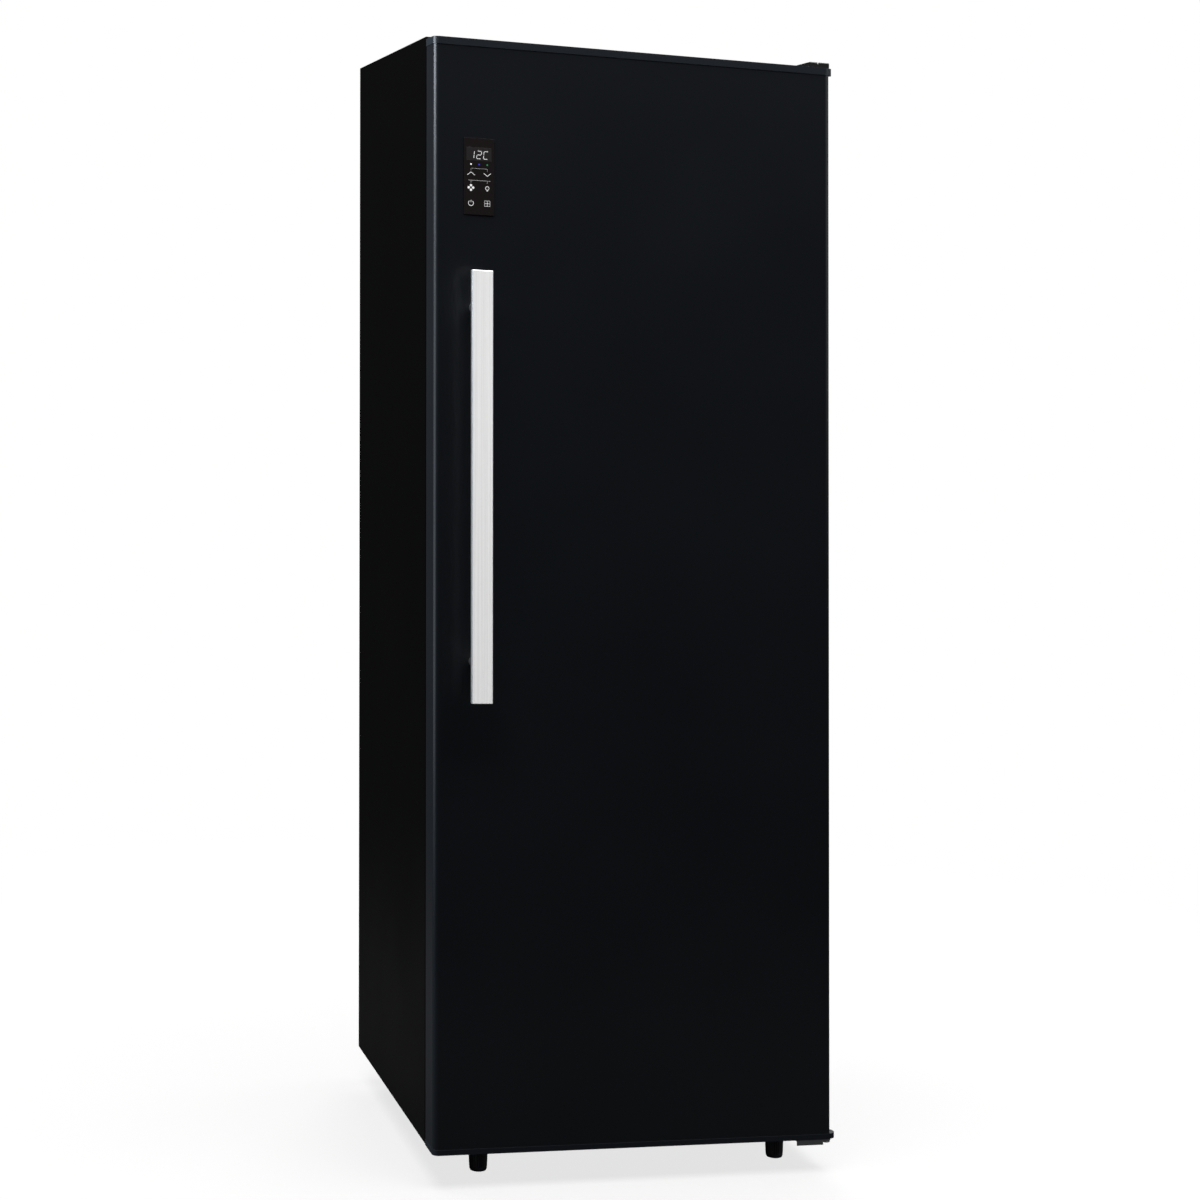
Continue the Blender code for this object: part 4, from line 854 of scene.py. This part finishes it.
stem_zinc = zinc("stem_zinc", (0.55, 0.56, 0.57), 0.32)
# The feet's nylon is a little lighter than the other black plastic, to stand in for light that does
# not reach them: painted light.
foot_nylon = moulded("foot_nylon", (0.014, 0.014, 0.018), 0.40)
for side in ("left", "right"):
    low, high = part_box(f"front_foot_{side}")
    base = base_of(low, high)
    top_r = (high.x - low.x) / 2
    height = high.z
    profile = [(0.0, 0.0), (top_r * 0.66, 0.0), (top_r * 0.80, 0.0009), (top_r * 0.875, 0.0035),
               (top_r * 0.89, 0.007), (top_r * 0.90, 0.0075), (top_r * 0.992, height - 0.0085),
               (top_r, height - 0.0075), (top_r, height - 0.0035), (top_r * 0.95, height - 0.001),
               (top_r * 0.88, height), (0.0, height)]
    foot = turned(f"levelling_foot_{side}", profile, (0, 0, 0), "Z", FOOT_RIBS * 4)
    for vertex in foot.data.vertices:
        here = vertex.co
        if RIB_LOW < here.z < height - RIB_TOP:
            turn = math.atan2(here.y, here.x)
            wave = 0.5 + 0.5 * math.cos(turn * FOOT_RIBS)
            shrink = 1.0 - RIB_DEPTH * (1.0 - wave ** 0.6) / top_r
            here.x *= shrink
            here.y *= shrink
    foot.data.transform(Matrix.Translation((base.x, base.y, 0.0)))
    complete(foot, f"foot_{side}", "black_plastic", foot_nylon, f"front_foot_{side}", smooth=28.0)
    low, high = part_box(f"front_foot_stem_{side}")
    stem_r = (high.x - low.x) / 2
    root_r = stem_r - THREAD_DEPTH
    profile = [(0.0, low.z), (root_r, low.z)]
    level = low.z
    while level + THREAD_PITCH < high.z - 0.001:
        profile += [(root_r, level + THREAD_PITCH * 0.2), (stem_r, level + THREAD_PITCH * 0.5),
                    (stem_r, level + THREAD_PITCH * 0.6), (root_r, level + THREAD_PITCH * 0.9)]
        level += THREAD_PITCH
    profile += [(root_r - 0.0002, high.z - 0.0003), (0.0, high.z)]
    stem = turned(f"threaded_stem_{side}", profile, (base.x, base.y, 0.0), "Z", 24)
    complete(stem, f"foot_{side}", "zinc_steel", stem_zinc, f"front_foot_stem_{side}")


# Rear rollers
# Nylon rollers with a slightly crowned tread and a hollow side, on riveted axle pins between the
# tray's lugs.
ROLLER_BORE = 0.0034
HUB_R = 0.0085
HOLLOW = 0.003              # how deep the side is between the hub and the tread

for side in ("left", "right"):
    low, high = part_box(f"rear_roller_{side}")
    centre = (low + high) / 2
    tread_r = (high.z - low.z) / 2
    half = (high.x - low.x) / 2
    face = [(ROLLER_BORE, half), (HUB_R, half), (HUB_R + 0.001, half - HOLLOW),
            (tread_r - 0.006, half - HOLLOW), (tread_r - 0.0045, half), (tread_r - 0.002, half),
            (tread_r - 0.0006, half - 0.0014)]
    profile = ([(radius, -x) for radius, x in face] + [(tread_r, 0.0)] + face[::-1]
               + [(ROLLER_BORE, -half)])
    roller = turned(f"nylon_roller_{side}", profile, centre, "X", 48)
    complete(roller, f"roller_{side}", "black_plastic", black_plastic, f"rear_roller_{side}")
    softened(f"axle_pin_{side}", f"rear_axle_{side}", 0.0003, "cabinet", "zinc_steel", stem_zinc,
             2, 50.0)


# Liner and front frame
# The inside is one piece of vacuum-formed grey polystyrene, with a groove in both walls for each
# shelf and a step over the compressor. A moulded frame joins it to the steel shell and holds the
# gasket's magnet.
for name, of_node, edge in (("inner_room", "inner_liner", 0.0010),
                            ("mouth_frame", "front_frame", 0.0008)):
    softened(name, of_node, edge, "cabinet", "liner_plastic", liner_plastic)


# Foam
# Polyurethane foamed in place between the steel and the plastic, pale yellow with small cells.
foam = Finish("polyurethane_foam", (0.66, 0.55, 0.30), 0.92, specular=0.2)
here = foam.place()
cells = foam.node("ShaderNodeTexVoronoi", {"feature": "F1"}, {"Vector": here, "Scale": 420.0})
foam.tint(foam.noise(here, 9.0, 4.0), (0.58, 0.47, 0.24), (0.72, 0.62, 0.37))
foam.bump(cells, 0.0004, 0.6)
for name in ("insulation", "door_foam"):
    node[name].data.materials.clear()
    node[name].data.materials.append(foam.material)


# Shelves
# Oiled beech: six slats across, their ends in the wall's grooves, nailed to three rails behind a
# deeper front strip. All edges are rounded.
SHELVES = 6
SLATS = 6
FACE_T = 0.014
FACE_H = 0.030
SLAT_W = 0.036
SLAT_T = 0.009
SLAT_REACH = 0.011          # beyond the front strip's end, into the groove
RAIL_W = 0.022
RAIL_T = 0.012
WOOD_EDGE = 0.0016
NAIL_R = 0.0013
NAIL_T = 0.0006


def beech(name, along, seed):
    """Beech with its grain along one axis: slow bands, fine fibres and short dark flecks."""
    made = Finish(name, (0.53, 0.33, 0.17), 0.46, specular=0.4)
    stretch = {"X": (1.0, 9.0, 9.0), "Y": (9.0, 1.0, 9.0)}[along]
    here = made.place(stretch, (seed, seed * 0.7, seed * 0.3))
    bands = made.noise(here, 5.0, 3.0, 0.55, 0.6)
    fibre = made.noise(here, 90.0, 4.0, 0.7)
    fleck = made.noise(made.place([s * 1.6 for s in stretch], (seed, 0.0, 0.0)), 160.0, 1.0) > 0.66
    tone = made.blend(made.spread(bands, 0.0, 1.0, 0.3, 0.7), (0.46, 0.265, 0.125),
                      (0.62, 0.405, 0.225))
    lined = made.blend(made.spread(fibre, 0.0, 0.55, 0.35, 0.8), tone, (0.36, 0.20, 0.095))
    made.tint(fleck * 0.5, lined, (0.26, 0.13, 0.055))
    made.sheen(fibre, 0.40, 0.58)
    made.bump(fibre, 0.00012, 0.5)
    return made


def copied(piece, name, shift):
    """A copy of a piece with its own mesh, moved over."""
    copy = added(name, piece.data.copy())
    copy.data.transform(Matrix.Translation(shift))
    return copy


beech_across = beech("beech_across", "X", 0.0)
beech_deep = beech("beech_deep", "Y", 3.1)
nail_steel = zinc("nail_steel", (0.40, 0.40, 0.41), 0.40)
first_low, first_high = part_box("shelf_1")
left, right_end = first_low.x + SLAT_REACH, first_high.x - SLAT_REACH
top = first_high.z
pitch = (first_high.y - first_low.y - FACE_T - SLAT_W) / SLATS
strips = [block("strip", (left, first_low.y, top - FACE_H), (right_end, first_low.y + FACE_T, top))]
nails = []
rail_starts = (left, (left + right_end - RAIL_W) / 2, right_end - RAIL_W)
for i in range(1, SLATS + 1):
    start = first_low.y + FACE_T + i * pitch
    strips.append(block("slat", (first_low.x, start, top - SLAT_T),
                        (first_high.x, start + SLAT_W, top)))
    nails += [(x + RAIL_W / 2, start + SLAT_W / 2, top) for x in rail_starts]
rails = [block("rail", (x, first_low.y + FACE_T / 2, top - SLAT_T - RAIL_T),
               (x + RAIL_W, first_high.y, top - SLAT_T)) for x in rail_starts]
for pieces, wood in ((strips, beech_across), (rails, beech_deep)):
    for piece in pieces:
        round_edges(piece, WOOD_EDGE, 3)
        piece.data.materials.append(wood.material)
heads = []
for spot in nails:
    bpy.ops.object.select_all(action="DESELECT")
    bpy.ops.mesh.primitive_cylinder_add(vertices=12, radius=NAIL_R, depth=NAIL_T, location=spot)
    bpy.ops.object.transform_apply(location=True, rotation=True, scale=True)
    head = bpy.context.active_object
    round_edges(head, 0.0002, 1)
    head.data.materials.append(nail_steel.material)
    heads.append(head)
shelf = joined("wood_shelf_1", strips + rails + heads)
alone(shelf)
bpy.ops.object.shade_smooth_by_angle(angle=math.radians(40.0))
shelves = [shelf]
for number in range(2, SHELVES + 1):
    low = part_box(f"shelf_{number}")[0]
    shelves.append(copied(shelf, f"wood_shelf_{number}", (0.0, 0.0, low.z - first_low.z)))
for number, piece in enumerate(shelves, 1):
    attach(piece, "cabinet")
    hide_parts(f"shelf_{number}")


# Air duct, fan and inner fittings
# A moulded black cover over the rear wall hides an aluminium evaporator plate. A small fan behind
# a grille blows down through the slots. The lamp is in the ceiling, the probe and filter in the
# walls.
CHANNEL_R = 0.0029
CHANNEL_RUNS = 15
CHANNEL_SIDE = 0.030        # from the sheet's sides to the bends
CHANNEL_END = 0.040         # from its top and bottom to the first and last runs
CHANNEL_BEND = 0.020
SHEET_HALF = 0.0008
LAMP_GLOW = 9.0

plastic = ("black_plastic", black_plastic)
for name, of_node, edge, body, made_of, sharp in (
        ("duct_shell", "duct_cover", 0.0006, "cabinet", plastic, 35.0),
        ("round_grille", "fan_grille", 0.0005, "cabinet", plastic, 50.0),
        ("fan_blades", "fan_impeller", 0.0004, "fan", plastic, 50.0),
        ("fan_can", "fan_motor", 0.0005, "cabinet", ("zinc_steel", stem_zinc), 50.0),
        ("probe_tip", "temperature_probe", 0.0005, "cabinet", plastic, 40.0),
        ("carbon_filter_cap", "air_filter_cap", 0.0006, "cabinet", plastic, 30.0)):
    softened(name, of_node, edge, body, *made_of, 2, sharp)

low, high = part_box("evaporator")
middle_y = (low.y + high.y) / 2
sheet = block("evaporator_sheet", (low.x, middle_y - SHEET_HALF, low.z),
              (high.x, middle_y + SHEET_HALF, high.z))
round_edges(sheet, 0.0004, 1)
corners = []
ends = (low.x + CHANNEL_SIDE, high.x - CHANNEL_SIDE)
for run in range(CHANNEL_RUNS):
    drop = (high.z - low.z - 2 * CHANNEL_END) * run / (CHANNEL_RUNS - 1)
    corners += [(x, middle_y, high.z - CHANNEL_END - drop) for x in ends]
    ends = ends[::-1]
channel = wire("channel", [rounded(corners, CHANNEL_BEND, 6)], CHANNEL_R, 10)
aluminium = Finish("rolled_aluminium", (0.78, 0.79, 0.80), 0.36, metallic=1.0)
here = aluminium.place((60.0, 60.0, 3.0))
rolled = aluminium.noise(here, 12.0, 3.0)
aluminium.sheen(rolled, 0.28, 0.46)
aluminium.tint(rolled, (0.70, 0.71, 0.72), (0.82, 0.83, 0.84))
aluminium.bump(rolled, 0.00004, 0.3)
complete(joined("evaporator_plate", [sheet, channel]), "cabinet", "evaporator_metal", aluminium,
         "evaporator")

lens = Finish("frosted_lamp_lens", (0.72, 0.72, 0.70), 0.40, coat=0.2)
# The lens colour follows the ribs' relief, darker in the hollows and lighter on the crests: painted
# shade.
ribs = lens.node("ShaderNodeTexWave", {"bands_direction": "X"},
                 {"Vector": lens.place(), "Scale": 45.0})
lens.tint(ribs, (0.64, 0.64, 0.62), (0.78, 0.78, 0.76))
lens.sheen(ribs, 0.34, 0.50)
lens.bump(ribs, 0.0006, 0.6)
lens.set("Emission Color", (1.0, 0.96, 0.90, 1.0))
lens.set("Emission Strength", LAMP_GLOW)
softened("lamp_lens", "lamp_cover", 0.0004, "cabinet", "lamp_plastic", lens)


# Compressor and machine compartment
# A galvanised tray carries the compressor: a black enamelled steel pot, welded round its middle, on
# a foot plate with four rubber grommets. Beside it are the starter box, and above it the drip tray.
POT_STEPS = 64
POT_ROWS = 32
POT_LOW = -72               # the pot's outline runs from here, in degrees, up to its top
WELD_REACH = 0.002
WELD_ROUND = 0.0006
WELD_ROOT = 0.004           # the weld reaches this far into the pot
PLATE_T = 0.003
PLATE_HALF = 0.060
PLATE_CORNER_R = 0.014

softened("machine_tray", "compressor_tray", 0.0004, "cabinet", "zinc_steel", galvanised)
softened("drip_pan", "drip_tray", 0.0007, "cabinet", "black_plastic", black_plastic)
softened("starter_housing", "starter_box", 0.0006, "cabinet", "black_plastic", black_plastic)
gland_rubber = rubber("gland_rubber")
softened("lead_gland", "cord_gland", 0.0005, "cabinet", "seal_rubber", gland_rubber, 2, 50.0)

enamel = paint("compressor_enamel", (0.010, 0.010, 0.011), 0.32, 0.12, 0.00008)
low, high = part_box("compressor")
base = base_of(low, high)
pot_r = (high.y - low.y) / 2 - WELD_REACH
half = (high.z - low.z) / 2
profile = [(0.0, PLATE_T / 2)]
for i in range(POT_ROWS + 1):
    turn = math.radians(POT_LOW + (90 - POT_LOW) * i / POT_ROWS)
    lift = half + (half - PLATE_T / 2) * math.sin(turn) ** 3 * 0.999
    profile.append((pot_r * max(0.0, math.cos(turn)) ** 0.45 if i < POT_ROWS else 0.0, lift))
pot = turned("pot", profile, base, "Z", POT_STEPS)
weld_r = pot_r + WELD_REACH
weld_low, weld_high = half + 0.004, half + 0.010
profile = [(pot_r - WELD_ROOT, weld_low), (weld_r - WELD_ROUND, weld_low),
           (weld_r, weld_low + WELD_ROUND), (weld_r, weld_high - WELD_ROUND),
           (weld_r - WELD_ROUND, weld_high), (pot_r - WELD_ROOT, weld_high),
           (pot_r - WELD_ROOT, weld_low)]
weld = turned("weld", profile, base, "Z", POT_STEPS)
foot_plate = block("foot_plate", (low.x, base.y - PLATE_HALF, low.z),
                   (high.x, base.y + PLATE_HALF, low.z + PLATE_T))
edit(foot_plate)
pick(foot_plate, "edges", upright)
bpy.ops.mesh.bevel(offset=PLATE_CORNER_R, segments=6, affect="EDGES")
leave()
round_edges(foot_plate, 0.0006, 2)
complete(joined("compressor_pot", [pot, weld, foot_plate]), "cabinet", "compressor_paint", enamel,
         "compressor")

low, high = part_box("compressor_grommet_1")
mount_r, mount_h = (high.x - low.x) / 2, high.z - low.z
profile = [(0.0, 0.0), (mount_r - 0.0008, 0.0), (mount_r, 0.0008), (mount_r, 0.0044),
           (mount_r - 0.0026, 0.0058), (mount_r - 0.0036, mount_h * 0.55),
           (mount_r - 0.0026, mount_h - 0.0030), (mount_r - 0.0010, mount_h - 0.0014),
           (mount_r - 0.0014, mount_h), (0.0, mount_h)]
for number in range(1, 5):
    name = f"compressor_grommet_{number}"
    mount = turned(f"rubber_mount_{number}", profile, base_of(*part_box(name)), "Z", 32)
    complete(mount, "cabinet", "seal_rubber", gland_rubber, name)


# Pipes and drier
# Bent copper pipes, brazed at their ends, and a copper drier with drawn-down necks. The copper has
# dulled to brown in places.
PIPE_R = 0.003
COIL_Y = 0.3505             # the middle of the tube on the back, which the hot pipe joins
HOT_STEP = 0.034            # the hot pipe rises this far in front of it
HOT_RISE = 0.030

copper = Finish("dulled_copper", (0.72, 0.36, 0.20), 0.34, metallic=1.0)
here = copper.place()
stain = copper.noise(here, 34.0, 4.0, 0.6)
copper.tint(copper.spread(stain, 0.0, 1.0, 0.35, 0.7), (0.74, 0.38, 0.22), (0.38, 0.17, 0.09))
copper.sheen(stain, 0.26, 0.52)
copper.bump(copper.noise(here, 500.0), 0.00002, 0.3)
low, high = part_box("discharge_pipe")
start_x, left_x = high.x - PIPE_R, low.x + PIPE_R
start_z = low.z + PIPE_R
rise_y = COIL_Y - HOT_STEP
corners = [(start_x, low.y + 0.0002, start_z), (start_x, rise_y, start_z),
           (left_x, rise_y, start_z), (left_x, rise_y, start_z + HOT_RISE),
           (left_x, COIL_Y, start_z + HOT_RISE), (left_x, COIL_Y, high.z)]
pipe = wire("hot_gas_pipe", [rounded(corners, 0.010, 8)], PIPE_R, 16)
complete(pipe, "cabinet", "copper", copper, "discharge_pipe")
low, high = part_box("suction_pipe")
middle_y = (low.y + high.y) / 2
corners = [(low.x, middle_y, low.z + PIPE_R), (high.x - PIPE_R, middle_y, low.z + PIPE_R),
           (high.x - PIPE_R, middle_y, high.z)]
pipe = wire("return_pipe", [rounded(corners, 0.020, 10)], PIPE_R, 16)
complete(pipe, "cabinet", "copper", copper, "suction_pipe")
low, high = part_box("filter_drier")
drier_r = (high.x - low.x) / 2
neck = drier_r / 3
length = high.z - low.z
profile = [(0.0, 0.0), (neck, 0.0), (neck, 0.012), (neck + 0.0012, 0.0135),
           (drier_r - 0.0016, 0.0185), (drier_r, 0.021), (drier_r, length - 0.0235),
           (drier_r - 0.0016, length - 0.0205),
           (neck + 0.0012, length - 0.0155), (neck, length - 0.014), (neck, length), (0.0, length)]
drier = turned("copper_drier", profile, base_of(low, high), "Z", 40)
complete(drier, "cabinet", "copper", copper, "filter_drier")


# Condenser
# A serpentine of 5 mm steel tube with wires spot-welded across it, on two strips screwed to the
# back, all in satin black.
TUBE_R = 0.0025
TUBE_BEND = 0.018
RUNS = 11
WIRES = 17
WIRE_R = 0.00075
WIRE_SPAN = 0.340
RISER_OUT = 0.035           # the first rise stands this far outside the runs
LOW_RUN = 0.040             # the lowest run, above the wires' ends
TIE_IN = 0.012              # the cross wires, from the wires' ends

condenser_paint = paint("condenser_paint", (0.008, 0.008, 0.009), 0.42, 0.10, 0.00006)
low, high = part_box("condenser_tube")
run_left, run_right = low.x + TUBE_R + RISER_OUT, high.x - TUBE_R
run_top = high.z - TUBE_R
wires_low, wires_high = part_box("condenser_wires")
run_low = wires_low.z + LOW_RUN
corners = [(run_left - RISER_OUT, COIL_Y, low.z), (run_left - RISER_OUT, COIL_Y, run_top)]
for run in range(RUNS):
    z = run_top - (run_top - run_low) * run / (RUNS - 1)
    ends = (run_left, run_right) if run % 2 == 0 else (run_right, run_left)
    corners += [(x, COIL_Y, z) for x in (ends if run else ends[1:])]
corners.append((run_right, COIL_Y, low.z))
tube = wire("serpentine_tube", [rounded(corners, TUBE_BEND, 8)], TUBE_R, 12)
complete(tube, "cabinet", "compressor_paint", condenser_paint, "condenser_tube")

wire_y = (wires_low.y + wires_high.y) / 2
first_x = (wires_low.x + wires_high.x - WIRE_SPAN) / 2
paths = []
for i in range(WIRES):
    x = first_x + WIRE_SPAN * i / (WIRES - 1)
    paths.append([(x, wire_y, wires_low.z), (x, wire_y, wires_high.z)])
for z in (wires_low.z + TIE_IN, wires_high.z - TIE_IN):
    for offset in (-WIRE_R, WIRE_R):
        paths.append([(wires_low.x, wire_y, z + offset), (wires_high.x, wire_y, z + offset)])
complete(wire("cooling_wires", paths, WIRE_R, 8), "cabinet", "compressor_paint", condenser_paint,
         "condenser_wires")
for side in ("left", "right"):
    softened(f"carrier_strip_{side}", f"condenser_strip_{side}", 0.0012, "cabinet",
             "compressor_paint", condenser_paint)


# Back screws
# Cross-head screws hold the back panel to the shell, and the tray to the pan.
SCREW_INSET = 0.014
LOWEST_SCREW = 0.380
GAPS = 5                    # between the screws along each edge
TRAY_SCREWS = (0.020, 0.120, 0.560, 0.657)

low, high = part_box("back_panel")
top_row = high.z - SCREW_INSET
places = []
for i in range(GAPS + 1):
    z = LOWEST_SCREW + (top_row - LOWEST_SCREW) * i / GAPS
    places += [(low.x + SCREW_INSET, high.y, z), (high.x - SCREW_INSET, high.y, z)]
places += [(low.x + (high.x - low.x) * i / GAPS, high.y, top_row) for i in range(1, GAPS)]
screws("back_screws", places, (0, 1, 0), "cabinet", "zinc_steel", stem_zinc)
low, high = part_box("compressor_tray")
places = [(low.x + x, high.y, high.z - 0.008) for x in TRAY_SCREWS]
screws("tray_screws", places, (0, 1, 0), "cabinet", "zinc_steel", stem_zinc)


# Lit pieces
# The lamps at the front right and on the floor light only the bright steel and the feet, those
# beside the door only the door, and the right one all but the door, as reflectors and flags do.
steel = {"handle_flat_bar", "handle_stand_top", "handle_stand_bottom", "hinge_ring",
         "hinge_pin_below"}
bright = steel | {"hinge_cover_screw", "levelling_foot_left", "levelling_foot_right"}
door_side = steel | {"door_face", "door_cap_above", "door_cap_below", "hinge_plate_below"}
pieces = {piece.name for piece in scene.objects if piece.type == "MESH" and piece is not floor}
for name, wanted, lamps in (("bright_pieces", bright, (steel_lamp, steel_floor_lamp)),
                            ("door_pieces", door_side, (edge_lamp, edge_fill, rim_lamp)),
                            ("cabinet_pieces", pieces - door_side, (right_lamp,))):
    group = bpy.data.collections.new(name)
    for piece_name in sorted(wanted):
        group.objects.link(bpy.data.objects[piece_name])
    for light in lamps:
        light.light_linking.receiver_collection = group
